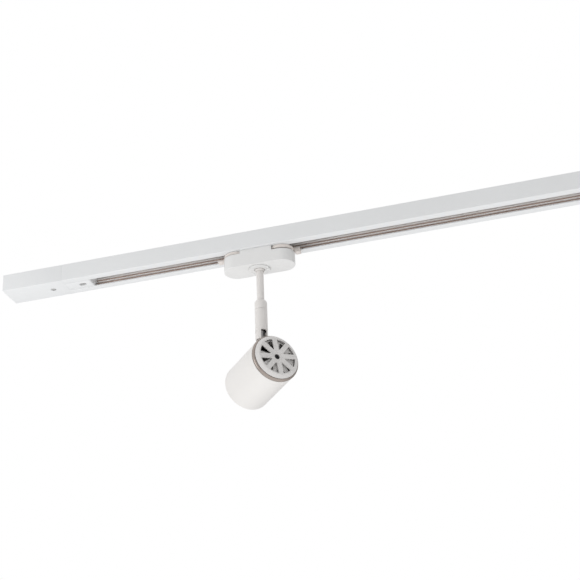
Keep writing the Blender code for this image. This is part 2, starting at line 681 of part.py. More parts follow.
def make_adapter_frame(look, screw_look, frame):
    """The bridge between the levers: it guides the adapter in the slot and carries the rotor's shaft."""
    half_x = LEVER_OFFSET - max(LEVER_RADII.values()) - GAP
    half_y = ADAPTER_WIDTH / 2 - ADAPTER_WALL - GAP
    plate = block((-half_x, half_x), (-half_y, half_y), (-FRAME_DEPTH, -GAP))
    bridge = add_object("adapter_frame", plate, look, frame)
    slot = SLOT_WIDTH / 2 - GAP
    join(bridge, block((-half_x, half_x), (-slot, slot), (-FRAME_DEPTH / 2, LIP_THICKNESS - GAP)))
    past = 2 * FRAME_DEPTH
    cut(bridge, cylinder(ROTOR_SHAFT_RADIUS + GAP, -past, past, MEDIUM))
    holes = []
    head = (-0.0006, -0.0016)
    seat = head[1] - 0.0002
    hole = FRAME_SCREW_SHANK + GAP
    bore = FRAME_SCREW_HEAD + GAP
    for name, side in SIDES.items():
        place = (side * FRAME_SCREW_AT[0], side * FRAME_SCREW_AT[1], 0)
        profile = [(0, 0.003), (bore, 0.003), (bore, seat), (hole, seat), (hole, -past), (0, -past)]
        holes.append(turned(profile, TINY, "Z", place))
        made = f"adapter_screw_{name}"
        screw(made, screw_look, frame, FRAME_SCREW_HEAD, head, FRAME_SCREW_SHANK, FRAME_SCREW_END, place)
    cut(bridge, merged(*holes))


def make_lever(name, look, frame):
    """A locking lever: a disc under the track, an ear to turn it by, and a dog above the track's lips."""
    side = SIDES[name]
    radius = LEVER_RADII[name]
    depth = LEVER_DEPTHS[name]
    neck = LEVER_NECK_RADIUS
    pivot = LEVER_PIVOT_RADIUS
    dog_low = LIP_THICKNESS + GAP
    neck_top = dog_low + 0.001
    profile = [
        (0, neck_top), (neck, neck_top), (neck, -GAP), (radius, -GAP), (radius, -depth),
        (pivot, -depth), (pivot, -LEVER_PIVOT_DEPTH), (0, -LEVER_PIVOT_DEPTH),
    ]
    lever = add_object(f"lock_lever_{name}", turned(profile, MEDIUM), look, frame)
    for shape in ear_shapes(side, EAR_REACHES[name], EAR_SPANS[name], (depth - 0.0002, EAR_DEPTHS[name])):
        join(lever, shape)
    join(lever, prism(clipped_bar(DOG_SIZE, DOG_SIZE[1] / 2), dog_low, DOG_TOP))


def ear_shapes(side, reach, span, depths):
    """An arm that passes over the cover's end, and the tab beyond it with rounded corners."""
    thin, deep = depths
    low, high = span
    top = -GAP - 0.0001
    past_cover = ADAPTER_WIDTH / 2 + 2 * GAP
    corner = 0.0008
    outline = [(past_cover, low)] + arc((reach - corner, low + corner), corner, -pi / 2, 0, 3)
    outline += arc((reach - corner, high - corner), corner, 0, pi / 2, 3) + [(past_cover, high)]
    tab = prism([(side * x, y) for x, y in outline], -deep, top)
    along = sorted((side * LEVER_NECK_RADIUS, side * (past_cover + corner)))
    arm = block(along, (low + 0.0001, high - 0.0001), (-thin, top - 0.0001))
    return arm, tab


def make_selector_ring(look, frame):
    low = -ADAPTER_HEIGHT - RING_PROUD
    high = -ADAPTER_HEIGHT + RING_RECESS - GAP
    profile = [
        (RING_BORE, high), (RING_RADIUS, high), (RING_RADIUS, low + 0.0005), (RING_RADIUS - 0.0005, low),
        (RING_BORE, low),
    ]
    ring = add_object("selector_ring", turned(profile, MEDIUM), look, frame)
    pointer = [(0.0080, -0.0018), (0.0108, -0.0024), (0.0122, 0), (0.0108, 0.0024), (0.0080, 0.0018)]
    join(ring, prism(pointer, low - POINTER_DEPTH, low + RING_PROUD / 2))
    pin_at = (-DRIVE_PIN_AT, 0, 0)
    join(ring, cylinder(DRIVE_PIN_RADIUS, high - RING_PROUD / 2, DRIVE_PIN_TOP, TINY, "Z", pin_at))


def make_contact_rotor(look, copper, frame):
    """The rotor that the ring turns: a cup over the stem nut, a shaft through the slot and a contact head."""
    skirt_low = -ADAPTER_HEIGHT + ADAPTER_FLOOR + 2 * GAP
    cup_top = -0.0100
    cup_roof = -0.0120
    head_low, head_high = ROTOR_HEAD_RANGE
    shaft_top = head_low + 0.001
    profile = [
        (0, shaft_top), (ROTOR_SHAFT_RADIUS, shaft_top), (ROTOR_SHAFT_RADIUS, cup_top),
        (ROTOR_RADIUS, cup_top), (ROTOR_RADIUS, skirt_low), (ROTOR_BORE, skirt_low),
        (ROTOR_BORE, cup_roof), (0, cup_roof),
    ]
    rotor = add_object("contact_rotor", turned(profile, MEDIUM), look, frame)
    join(rotor, prism(clipped_bar(ROTOR_HEAD_SIZE, ROTOR_HEAD_SIZE[1] / 2), head_low, head_high))
    half = DRIVE_PIN_RADIUS + GAP
    notch_x = (-ROTOR_RADIUS - OVERCUT, -ROTOR_BORE + 0.0007)
    cut(rotor, block(notch_x, (-half, half), (skirt_low - OVERCUT, DRIVE_PIN_TOP + GAP)))
    along = (-0.0011, 0.0011)
    cut(rotor, make_contacts("rotor_contact", along, ROTOR_CONTACT_INNER, 0, copper, frame))


# ---------------------------------------------------------------- stem and swivel

def make_stem(look, steel, frame):
    profile = [
        (STEM_BORE, -STEM_TOP), (STEM_RADIUS, -STEM_TOP), (STEM_RADIUS, -SWIVEL_ROOF),
        (STEM_NECK_RADIUS, -SWIVEL_ROOF), (STEM_NECK_RADIUS, -STEM_BOTTOM), (STEM_BORE, -STEM_BOTTOM),
    ]
    add_object("stem_tube", turned(profile, SMALL), look, frame)
    bore = STEM_RADIUS + GAP
    collar = [
        (bore, -ADAPTER_HEIGHT - GAP), (COLLAR_RADIUS, -ADAPTER_HEIGHT - GAP),
        (COLLAR_RADIUS, -COLLAR_BOTTOM + 0.0008), (COLLAR_RADIUS - 0.0008, -COLLAR_BOTTOM),
        (bore, -COLLAR_BOTTOM),
    ]
    add_object("stem_collar", turned(collar, SMALL), look, frame)
    floor = -ADAPTER_HEIGHT + ADAPTER_FLOOR
    hexagon = arc((0, 0), NUT_RADIUS, 0, 5 * pi / 3, 5)
    nut = add_object("stem_nut", prism(hexagon, floor + GAP, floor + 0.0036), steel, frame)
    cut(nut, cylinder(bore, floor - OVERCUT, floor + 0.005, SMALL))


def make_sleeve_cap(look, frame):
    bore = STEM_RADIUS + GAP
    profile = [
        (bore, -SLEEVE_CAP_TOP), (STEM_RADIUS + 0.0008, -SLEEVE_CAP_TOP),
        (SLEEVE_RADIUS, -SLEEVE_CAP_TOP - SLEEVE_CHAMFER), (SLEEVE_RADIUS, -SWIVEL_SEAM + GAP / 2),
        (bore, -SWIVEL_SEAM + GAP / 2),
    ]
    add_object("sleeve_cap", turned(profile, SMALL), look, frame)


def make_swivel_clip(look, frame):
    low = -SWIVEL_ROOF - GAP - 0.0016
    clip = tube(SLEEVE_BORE - GAP, STEM_NECK_RADIUS + GAP, low, -SWIVEL_ROOF - GAP, SMALL)
    add_object("swivel_clip", clip, look, frame)


def make_sleeve(look, frame):
    """The slotted lower sleeve, drawn about the hinge's frame. It turns round the stem's end."""
    top = HINGE_DEPTH - SWIVEL_SEAM - GAP / 2
    roof = HINGE_DEPTH - SWIVEL_ROOF
    bottom = HINGE_DEPTH - SLEEVE_BOTTOM
    hole = STEM_RADIUS + GAP
    profile = [
        (hole, top), (SLEEVE_RADIUS, top), (SLEEVE_RADIUS, bottom + 0.0008), (SLEEVE_RADIUS - 0.0008, bottom),
        (SLEEVE_BORE, bottom), (SLEEVE_BORE, roof), (hole, roof),
    ]
    sleeve = add_object("sleeve", turned(profile, MEDIUM), look, frame)
    half = SLEEVE_SLOT_WIDTH / 2
    slot_top = HINGE_DEPTH - SLEEVE_SLOT_TOP
    corner = SLEEVE_SLOT_CORNER
    outline = [(-half, bottom - OVERCUT), (half, bottom - OVERCUT)]
    outline += arc((half - corner, slot_top - corner), corner, 0, pi / 2, 3)
    outline += arc((-half + corner, slot_top - corner), corner, pi / 2, pi, 3)
    past = SLEEVE_RADIUS + OVERCUT
    cut(sleeve, prism(outline, -past, 0, "X"))
    cut(sleeve, cylinder(PIN_RADIUS + GAP, -past, past, TINY, "Y"))


def make_hinge_pin(steel, nylon, frame):
    half = SLEEVE_RADIUS - GAP
    add_object("hinge_pin", cylinder(PIN_RADIUS, -half, half, TINY, "Y"), steel, frame)
    low = LUG_RANGE[0] - GAP
    high = LUG_RANGE[1] + GAP
    spans = {
        "hinge_washer_left": (low - SPACER_THICKNESS, low),
        "hinge_washer_right": (high, high + WASHER_THICKNESS),
    }
    for name, span in spans.items():
        add_object(name, tube(WASHER_RADIUS, PIN_RADIUS + GAP, *span, SMALL, "Y"), nylon, frame)


# ---------------------------------------------------------------- head

def along_head(station):
    """Hinge-frame X of a station measured from the shell's rear edge towards the light."""
    return station - HINGE_TO_REAR


def head_turned(profile, segments=FINE):
    """Revolves (radius, station) points about the head's own axis."""
    bm = turned([(radius, along_head(station)) for radius, station in reversed(profile)], segments, "X")
    bmesh.ops.translate(bm, verts=bm.verts, vec=(0, 0, -HEAD_DROP))
    return bm


def make_hinge_lug(look, frame):
    """An eye on the hinge pin, an arm through the shell and a foot inside it."""
    foot_x, foot_y = FOOT_SIZE[0] / 2, FOOT_SIZE[1] / 2
    foot_low = FOOT_TOP - FOOT_SIZE[2]
    spread = asin(ARM_HALF_WIDTH / EYE_RADIUS)
    outline = arc((0, 0), EYE_RADIUS, -pi / 2 + spread, 3 * pi / 2 - spread, 20)
    outline += [(-ARM_HALF_WIDTH, foot_low), (ARM_HALF_WIDTH, foot_low)]
    lug = add_object("hinge_lug", prism(outline, *LUG_RANGE, "Y"), look, frame)
    join(lug, block((-foot_x, foot_x), (-foot_y, foot_y), (foot_low, FOOT_TOP)))
    cut(lug, cylinder(PIN_RADIUS + GAP, -foot_y, foot_y, TINY, "Y"))
    holes = []
    for x in (-LUG_SCREW_X, LUG_SCREW_X):
        holes.append(cylinder(LUG_SCREW_HOLE, foot_low - OVERCUT, FOOT_TOP + OVERCUT, TINY, "Z", (x, 0, 0)))
    cut(lug, merged(*holes))


def make_lug_screws(look, frame):
    crown = -HEAD_DROP + SHELL_RADIUS
    head = (crown - 0.0001, crown - 0.0009)
    end = crown - 0.0046
    for number, x in enumerate((-LUG_SCREW_X, LUG_SCREW_X), start=1):
        screw(f"lug_screw_{number}", look, frame, LUG_SCREW_HEAD, head, LUG_SCREW_HOLE - GAP, end, (x, 0, 0))


def make_head_shell(look, frame):
    inner = SHELL_RADIUS - SHELL_WALL
    end = SHELL_LENGTH
    rear = RIM_FRONT + GAP
    profile = [
        (inner, rear), (SHELL_RADIUS - 0.0002, rear), (SHELL_RADIUS, rear + 0.0003),
        (SHELL_RADIUS, end - 0.0008), (SHELL_RADIUS - 0.0003, end - 0.0002), (SHELL_RADIUS - 0.0008, end),
        (inner + 0.0003, end), (inner, end - 0.0003),
    ]
    shell = add_object("head_shell", head_turned(profile), look, frame)
    crown = -HEAD_DROP + SHELL_RADIUS
    arm = ARM_HALF_WIDTH + GAP
    past = 2 * SHELL_WALL
    slot = (LUG_RANGE[0] - GAP, LUG_RANGE[1] + GAP)
    cut(shell, block((-arm, arm), slot, (crown - past, crown + OVERCUT)))
    bore = LUG_SCREW_HEAD + GAP
    seat = crown - 0.0011
    profile = [
        (0, crown + OVERCUT), (bore, crown + OVERCUT), (bore, seat), (LUG_SCREW_HOLE, seat),
        (LUG_SCREW_HOLE, crown - past), (0, crown - past),
    ]
    holes = [turned(profile, TINY, "Z", (x, 0, 0)) for x in (-LUG_SCREW_X, LUG_SCREW_X)]
    cut(shell, merged(*holes))


def make_reveal_ring(look, frame):
    """The metal ring between the shell and the rear cap, with a rounded bead that stands a little proud."""
    skirt = SHELL_RADIUS - SHELL_WALL - GAP
    skirt_end = 0.0050
    profile = [
        (RIM_BORE, skirt_end), (skirt, skirt_end), (skirt, RIM_FRONT), (RIM_RADIUS - 0.0006, RIM_FRONT),
        (RIM_RADIUS - 0.0001, RIM_FRONT - 0.0005), (RIM_RADIUS, RIM_FRONT - 0.0013),
        (RIM_RADIUS - 0.0004, RIM_BACK + 0.0014), (RIM_RADIUS - 0.0014, RIM_BACK), (RIM_BORE, RIM_BACK),
    ]
    add_object("reveal_ring", head_turned(profile), look, frame)


def vent_cutter(phase, outer, low, high):
    """The wedges between parallel-sided spokes, out to a radius, as prisms along the head's axis."""
    outer_half = pi / VENT_COUNT - asin(SPOKE_WIDTH / 2 / outer)
    inner_half = pi / VENT_COUNT - asin(SPOKE_WIDTH / 2 / VENT_INNER)
    wedges = []
    for number in range(VENT_COUNT):
        middle = phase + (number + 0.5) * 2 * pi / VENT_COUNT
        outline = arc((0, 0), outer, middle - outer_half, middle + outer_half, 3)
        outline += arc((0, 0), VENT_INNER, middle + inner_half, middle - inner_half, 1)
        outline = [(-y, z - HEAD_DROP) for y, z in outline]
        wedges.append(prism(outline, along_head(low), along_head(high), "X"))
    return merged(*wedges)


def make_rear_cap(look, frame):
    face = -CAP_FACE_HEIGHT
    base = RIM_BACK - GAP
    plate = face + 0.0014
    hub = face + 0.0052
    skirt = RIM_BORE - GAP
    skirt_inner = skirt - 0.0014
    skirt_end = 0.0010
    profile = [
        (0, face), (CAP_FACE_RADIUS - 0.0003, face), (CAP_FACE_RADIUS, face + 0.0002),
        (CAP_BASE_RADIUS, base - 0.0005), (CAP_BASE_RADIUS, base), (skirt, base), (skirt, skirt_end),
        (skirt_inner, skirt_end), (skirt_inner, base - 0.0001), (BAFFLE_RADIUS + GAP, plate),
        (HUB_RADIUS, plate), (HUB_RADIUS, hub), (0, hub),
    ]
    cap = add_object("rear_cap", head_turned(profile), look, frame)
    cut(cap, vent_cutter(VENT_PHASE, VENT_OUTER, face - 2 * OVERCUT, plate + 0.0008))
    bore = CAP_SCREW_HEAD + GAP
    hole = CAP_SCREW_SHANK + GAP
    dish = face + DISH_DEPTH
    seat = dish + 0.0016
    past = hub + OVERCUT
    slope = (DISH_RADIUS - bore) / DISH_DEPTH
    well = [
        (0, face - OVERCUT), (DISH_RADIUS + slope * OVERCUT, face - OVERCUT), (bore, dish), (bore, seat),
        (hole, seat), (hole, past), (0, past),
    ]
    cut(cap, head_turned(well, MEDIUM))


def make_vent_baffle(look, frame):
    """A second spoked disc whose spokes lie behind the cap's openings, so that no lamp light shows."""
    low, high = BAFFLE_RANGE
    hole = HUB_RADIUS + GAP
    disc = [(hole, low), (BAFFLE_RADIUS, low), (BAFFLE_RADIUS, high), (hole, high)]
    baffle = add_object("vent_baffle", head_turned(disc, FINE), look, frame)
    turn = pi / VENT_COUNT + BAFFLE_TURN
    cut(baffle, vent_cutter(VENT_PHASE + turn, BAFFLE_OPEN, low - OVERCUT, high + OVERCUT))


def make_cap_screw(look, frame):
    face = -CAP_FACE_HEIGHT
    head = (along_head(face + DISH_DEPTH), along_head(face + DISH_DEPTH + 0.0014))
    end = along_head(CAP_SCREW_END)
    screw("cap_screw", look, frame, CAP_SCREW_HEAD, head, CAP_SCREW_SHANK, end, (0, 0, -HEAD_DROP), "X")


def make_lamp_bracket(look, frame):
    """A steel U across the shell: its web carries the lamp holder and its legs spring against the shell."""
    sheet = BRACKET_SHEET
    web = (along_head(BRACKET_FROM), along_head(BRACKET_FROM + sheet))
    leg_end = along_head(BRACKET_LEG_END)
    reach = BRACKET_REACH
    outline = [
        (web[0], -reach), (leg_end, -reach), (leg_end, -reach + sheet), (web[1], -reach + sheet),
        (web[1], reach - sheet), (leg_end, reach - sheet), (leg_end, reach), (web[0], reach),
    ]
    half = BRACKET_HALF_WIDTH
    bracket = add_object("lamp_bracket", prism(outline, -HEAD_DROP - half, -HEAD_DROP + half), look, frame)
    hole = CAP_SCREW_SHANK + GAP
    cut(bracket, cylinder(hole, web[0] - OVERCUT, web[1] + OVERCUT, TINY, "X", (0, 0, -HEAD_DROP)))


def make_lamp_holder(look, frame):
    low, high = HOLDER_RANGE
    radius = HOLDER_RADIUS
    profile = [(0, low), (radius - 0.001, low), (radius, low + 0.001), (radius, high), (0, high)]
    holder = add_object("lamp_holder", head_turned(profile, MEDIUM), look, frame)
    screw_well = (along_head(low - OVERCUT), along_head(CAP_SCREW_END + 0.0015))
    wells = [cylinder(CAP_SCREW_SHANK + GAP, *screw_well, TINY, "X", (0, 0, -HEAD_DROP))]
    pin_well = (along_head(LAMP_PIN_RANGE[0] - 0.0008), along_head(high + OVERCUT))
    for side in (-1, 1):
        place = (0, side * PIN_PITCH / 2, -HEAD_DROP)
        wells.append(cylinder(LAMP_PIN_FOOT_RADIUS + GAP, *pin_well, TINY, "X", place))
    cut(holder, merged(*wells))


def make_lamp(body_look, steel, lens_look, frame):
    base, rim = LAMP_RANGE
    flare = [(0.0128, 0.0300), (0.0192, 0.0415), (0.0232, 0.0530), (0.0246, 0.0590)]
    bowl = [(0.0232, rim), (0.0225, 0.0590), (0.0160, 0.0500), (0, 0.0465)]
    profile = [(0, base), (0.0104, base), (0.0104, 0.0262)] + flare + [(0.0247, rim)] + bowl
    lamp = add_object("lamp_body", head_turned(profile, MEDIUM), body_look, frame)
    pin_low, pin_step, pin_high = map(along_head, (LAMP_PIN_RANGE[0], LAMP_PIN_STEP, LAMP_PIN_RANGE[1]))
    thin, thick = LAMP_PIN_RADIUS, LAMP_PIN_FOOT_RADIUS
    pin_profile = [
        (0, pin_high), (thin, pin_high), (thin, pin_step), (thick, pin_step), (thick, pin_low), (0, pin_low),
    ]
    socket = (along_head(base - OVERCUT), pin_high + 0.0004)
    sockets = []
    for number, side in enumerate((-1, 1), start=1):
        place = (0, side * PIN_PITCH / 2, -HEAD_DROP)
        add_object(f"lamp_pin_{number}", turned(pin_profile, TINY, "X", place), steel, frame)
        sockets.append(cylinder(thin + GAP, *socket, TINY, "X", place))
    cut(lamp, merged(*sockets))
    lens = [(0, 0.0594), (0.0222, 0.0594), (0.0222, 0.0608), (0, 0.0616)]
    add_object("lamp_lens", head_turned(lens, MEDIUM), lens_look, frame)


def make_front_ring(look, frame):
    outer = SHELL_RADIUS - SHELL_WALL - GAP
    low, high = FRONT_RING_RANGE
    profile = [(FRONT_RING_BORE, low), (outer, low), (outer, high), (FRONT_RING_BORE, high)]
    add_object("front_ring", head_turned(profile), look, frame)


# ---------------------------------------------------------------- assembly

def clear_scene():
    for obj in list(bpy.data.objects):
        bpy.data.objects.remove(obj)


def build_track(looks):
    track = add_frame("track_frame")
    make_track_profile(looks["track_white"], track)
    make_inserts(looks["insulation"], track)
    make_strips(looks["copper"], track)
    make_end_cap(looks["housing_white"], track)
    make_feed_cover(looks["track_white"], track)
    make_feed_base(looks["housing_white"], track)
    make_cover_screw(looks["steel"], track)
    make_terminal_block(looks["ceramic"], looks["steel"], track)
    make_feed_connector(looks["track_white"], looks["copper"], track)
    make_feed_leads(looks["black_nylon"], track)
    button = add_frame("feed_button_frame", track, (feed_x(BUTTON_AT), 0, -TRACK_HEIGHT))
    make_feed_button(looks["track_white"], button)
    return track


def build_adapter(looks, track):
    adapter = add_frame("adapter_slide_frame", track, (ADAPTER_X, 0, -TRACK_HEIGHT))
    make_adapter_cover(looks["housing_white"], adapter)
    make_adapter_frame(looks["housing_white"], looks["steel"], adapter)
    for name, side in SIDES.items():
        pivot = add_frame(f"lock_lever_{name}_frame", adapter, (side * LEVER_OFFSET, 0, 0))
        make_lever(name, looks["housing_white"], pivot)
    selector = add_frame("selector_frame", adapter)
    make_selector_ring(looks["housing_white"], selector)
    make_contact_rotor(looks["black_nylon"], looks["copper"], selector)
    make_stem(looks["housing_white"], looks["steel"], adapter)
    make_sleeve_cap(looks["housing_white"], adapter)
    make_swivel_clip(looks["steel"], adapter)
    return adapter


def build_head(looks, adapter):
    swivel = add_frame("swivel_frame", adapter, (0, 0, -HINGE_DEPTH), (0, 0, AIM_AZIMUTH))
    make_sleeve(looks["housing_white"], swivel)
    make_hinge_pin(looks["steel"], looks["black_nylon"], swivel)
    head = add_frame("head_tilt_frame", swivel, rotation=(0, AIM_DIP, 0))
    make_hinge_lug(looks["steel"], head)
    make_lug_screws(looks["steel"], head)
    make_head_shell(looks["head_white"], head)
    make_reveal_ring(looks["nickel"], head)
    make_rear_cap(looks["head_white"], head)
    make_vent_baffle(looks["head_white"], head)
    make_cap_screw(looks["dark_screw"], head)
    make_lamp_bracket(looks["steel"], head)
    make_lamp_holder(looks["ceramic"], head)
    make_lamp(looks["lamp_silver"], looks["steel"], looks["lens"], head)
    make_front_ring(looks["steel"], head)


def main():
    clear_scene()
    looks = make_materials()
    track = build_track(looks)
    adapter = build_adapter(looks, track)
    build_head(looks, adapter)


main()
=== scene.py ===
"""Track spotlight: the visual model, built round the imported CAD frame.

Metres, in the row frame: the origin is the centre of the track's ceiling face, +X runs along the track away
from the end feed and +Z is up. Turned pieces are drawn about their own axis and then put in place.
"""

import json
from math import asin, atan2, cos, pi, radians, sin

import bmesh
import bpy
from mathutils import Matrix, Vector


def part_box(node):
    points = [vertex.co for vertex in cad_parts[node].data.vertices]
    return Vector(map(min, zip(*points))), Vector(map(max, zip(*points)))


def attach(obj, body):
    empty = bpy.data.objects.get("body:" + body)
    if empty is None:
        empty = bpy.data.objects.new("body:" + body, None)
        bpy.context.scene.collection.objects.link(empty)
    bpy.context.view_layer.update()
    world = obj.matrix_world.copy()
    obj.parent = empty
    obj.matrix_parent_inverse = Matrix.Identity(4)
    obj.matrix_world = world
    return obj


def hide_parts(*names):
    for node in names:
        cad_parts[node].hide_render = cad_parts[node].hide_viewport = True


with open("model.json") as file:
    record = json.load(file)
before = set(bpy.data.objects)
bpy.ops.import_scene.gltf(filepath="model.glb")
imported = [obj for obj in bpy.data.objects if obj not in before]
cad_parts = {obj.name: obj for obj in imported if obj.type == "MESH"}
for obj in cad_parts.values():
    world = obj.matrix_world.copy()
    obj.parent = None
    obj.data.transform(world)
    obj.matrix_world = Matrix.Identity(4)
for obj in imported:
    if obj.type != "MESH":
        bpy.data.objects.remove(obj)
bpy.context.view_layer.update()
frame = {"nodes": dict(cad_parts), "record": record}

GAP = 0.0003                     # clearance that the CAD pieces keep

# Track section
TRACK_LENGTH = 1.000
TRACK_WIDTH = 0.035
TRACK_HEIGHT = 0.0205
TRACK_WEB = 0.0018
TRACK_WALL = 0.0016
LIP_THICKNESS = 0.0013
SLOT_WIDTH = 0.017
CORNER_RADIUS = 0.0009
CHANNEL_LOW = -TRACK_HEIGHT + LIP_THICKNESS
CHANNEL_HIGH = -TRACK_WEB
CEILING_SLOT_X = 0.350
CEILING_SLOT_SIZE = (0.009, 0.0045)

# End feed, in stations from its outer end
FEED_LENGTH = 0.0733
FEED_WALL = 0.0018
FEED_MOUTH_HALF = 0.0128
FEED_TONGUE_END = 0.104
CONNECTOR_FROM = 0.062
TONGUE_HALF_WIDTH = 0.0125
CONTACT_AT = 0.085
CONTACT_LENGTH = 0.012
CONTACT_HEIGHTS = {"line": (1, 0.0085), "neutral": (1, 0.0051), "earth": (-1, 0.0070)}
COVER_SCREW_AT = 0.0562
COVER_SCREW_HEAD = 0.0026
COUNTERBORE_DEPTH = 0.0009
BUTTON_AT = 0.0929
BUTTON_SIZE = (0.0082, 0.0052)
BUTTON_RECESS = 0.0010
BUTTON_HEIGHT = 0.0032
BUTTON_WELL = 0.0045
END_CAP_THICKNESS = 0.003
END_CAP_SPIGOT = 0.012

# Adapter, depths below the track's underside
ADAPTER_LENGTH = 0.0808
ADAPTER_WIDTH = 0.0292
ADAPTER_HEIGHT = 0.0198
ADAPTER_WALL = 0.0016
ADAPTER_FLOOR = 0.0020
LAND_LENGTH = 0.0364
LEVER_OFFSET = (ADAPTER_LENGTH - ADAPTER_WIDTH) / 2
LEVER_NECK_RADIUS = 0.0078
LEVER_PIVOT_RADIUS = 0.0030
LEVER_PIVOT_DEPTH = 0.0125
DOG_SIZE = (0.0084, 0.0236)
DOG_TOP = 0.0060
SIDES = {"left": -1, "right": 1}
LEDGE_DEPTHS = {"left": 0.0040, "right": 0.0058}
LEVER_DEPTHS = {"left": 0.0031, "right": 0.0041}
LEVER_RADII = {"left": 0.0143, "right": 0.0139}
EAR_REACHES = {"left": 0.0227, "right": 0.0205}
EAR_SPANS = {"left": (-0.0015, 0.0060), "right": (0.0002, 0.0072)}
EAR_DEPTHS = {"left": 0.0031, "right": 0.0060}
RING_RADIUS = 0.0118
RING_BORE = 0.0059
RING_PROUD = 0.0012
RING_RECESS = 0.0009
POINTER_DEPTH = 0.0016
DRIVE_PIN_AT = 0.0083
DRIVE_PIN_RADIUS = 0.0008
DRIVE_PIN_TOP = -0.0155
DRIVE_SLOT_HALF = 0.0011
DRIVE_SLOT_ENDS = (radians(170), radians(280))
POST_WALL = 0.0019

# Stem and swivel, depths below the track's underside
STEM_RADIUS = 0.0040
STEM_BORE = 0.0026
STEM_TOP = 0.0130
STEM_NECK_RADIUS = 0.0032
STEM_BOTTOM = 0.0775
COLLAR_RADIUS = 0.0053
COLLAR_BOTTOM = 0.0230
SLEEVE_RADIUS = 0.0068
SLEEVE_BORE = 0.0053
SLEEVE_CAP_TOP = 0.0582
SLEEVE_CHAMFER = 0.0028
SWIVEL_SEAM = 0.0698
SWIVEL_ROOF = 0.0722
HINGE_DEPTH = 0.0972
SLEEVE_BOTTOM = 0.1055
SLEEVE_SLOT_TOP = 0.0953
SLEEVE_SLOT_WIDTH = 0.0070
PIN_RADIUS = 0.0015

# Head: stations run from the shell's rear edge towards the light
AIM_DIP = radians(6.0)
HEAD_DROP = 0.0447
HINGE_TO_REAR = 0.0246
SHELL_LENGTH = 0.0673
SHELL_RADIUS = 0.0267
SHELL_WALL = 0.0015
EYE_RADIUS = 0.0042
LUG_RANGE = (0.0, 0.0024)
ARM_HALF_WIDTH = 0.0035
FOOT_SIZE = (0.0180, 0.0090, 0.0016)
FOOT_TOP = 0.0244                # above the head's own axis
LUG_SCREWS = (-0.0065, 0.0065)
LUG_SCREW_HEAD = 0.0021
LUG_SCREW_HOLE = 0.0014
LUG_SCREW_SINK = 0.0009          # its seat, below the shell's crown
RIM_RADIUS = 0.0269
RIM_BORE = 0.0236
RIM_BACK = -0.0026
RIM_FRONT = 0.0013
CAP_BASE_RADIUS = 0.0249
CAP_FACE_RADIUS = 0.0217
CAP_FACE = -0.0065
CAP_PLATE = CAP_FACE + 0.0014
VENT_COUNT = 8
VENT_PHASE = radians(6.75)
SPOKE_WIDTH = 0.0053
VENT_INNER = 0.0083
VENT_OUTER = 0.0203
DISH_RADIUS = 0.0066
DISH_DEPTH = 0.0017
CAP_SCREW_HEAD = 0.0027
CAP_SCREW_SHANK = 0.0013
CAP_SCREW_END = 0.0100
BAFFLE_RADIUS = 0.0203
BAFFLE_TURN = pi / VENT_COUNT + radians(7)
BAFFLE_OPEN = 0.0192
BAFFLE_RANGE = (-0.0025, -0.0015)
HUB_RADIUS = 0.0052
HUB_END = CAP_FACE + 0.0052
LAMP_BASE = 0.0188
LAMP_RIM = 0.0618
LAMP_BOWL = [                    # radius and station, from the rim to the middle
    (0.0230, 0.0594), (0.0205, 0.0561), (0.0185, 0.0532), (0.0162, 0.0506), (0.0134, 0.0487),
    (0.0100, 0.0475), (0.0060, 0.0468), (0, 0.0466),
]
PIN_PITCH = 0.0100
FRONT_RING_RANGE = (0.0622, 0.0640)
FRONT_RING_BORE = 0.0226

# Studio
FLOOR_LEVEL = -1.6
FLOOR_REACH = 6
CAMERA_PLACE = Vector((0.1476, -1.3315, -0.7610))
CAMERA_FORWARD = Vector((-0.2473564, 0.86050859, 0.44535354))
CAMERA_UP = Vector((0.16168227, -0.41653519, 0.89462689))
LENS = 88.57
SENSOR = 36
SKY_SLOPE = (-0.19, 0.0, 0.42)   # change of the sky's brightness along each axis
SKY_LEVEL = 0.52                 # brightness at the horizon

# Mesh detail
ROUND = 128                      # segments round the head
TURN = 64                        # round smaller turned parts
FEW = 32                         # round screws and pins
OVERCUT = 0.001                  # cutters reach this far past the face that they open
WELD_DISTANCE = 1e-7

# Frames of the bodies at rest. The tilt joint gives the hinge's place and direction.
JOINTS = {joint["name"]: joint for joint in frame["record"]["behaviour"]["joints"]}
HINGE = Vector(JOINTS["head_tilt"]["pos_m"])
TILT_AXIS = Vector(JOINTS["head_tilt"]["axis"])
AIM_AZIMUTH = atan2(-TILT_AXIS.x, TILT_AXIS.y)
ROW = Matrix()
ADAPTER = Matrix.Translation((HINGE.x, 0, -TRACK_HEIGHT))
SWIVEL = Matrix.Translation(HINGE) @ Matrix.Rotation(AIM_AZIMUTH, 4, "Z")
HEAD = SWIVEL @ Matrix.Rotation(AIM_DIP, 4, "Y")
ALONG_HEAD = Matrix.Translation((-HINGE_TO_REAR, 0, -HEAD_DROP)) @ Matrix.Rotation(pi / 2, 4, "Y")
HEAD_AXIS = HEAD @ ALONG_HEAD


# ---------------- materials

NOISE_RANGE = (0.3, 0.7)         # a noise value rarely leaves this range


def supply(tree, made, inputs):
    """Sets a node's inputs. Each value is a socket to link, or a plain value."""
    for key, value in inputs.items():
        if isinstance(value, bpy.types.NodeSocket):
            tree.links.new(value, made.inputs[key])
        else:
            made.inputs[key].default_value = value


def node(tree, kind, inputs=None, **settings):
    made = tree.nodes.new(kind)
    for key, value in settings.items():
        setattr(made, key, value)
    supply(tree, made, inputs or {})
    return made


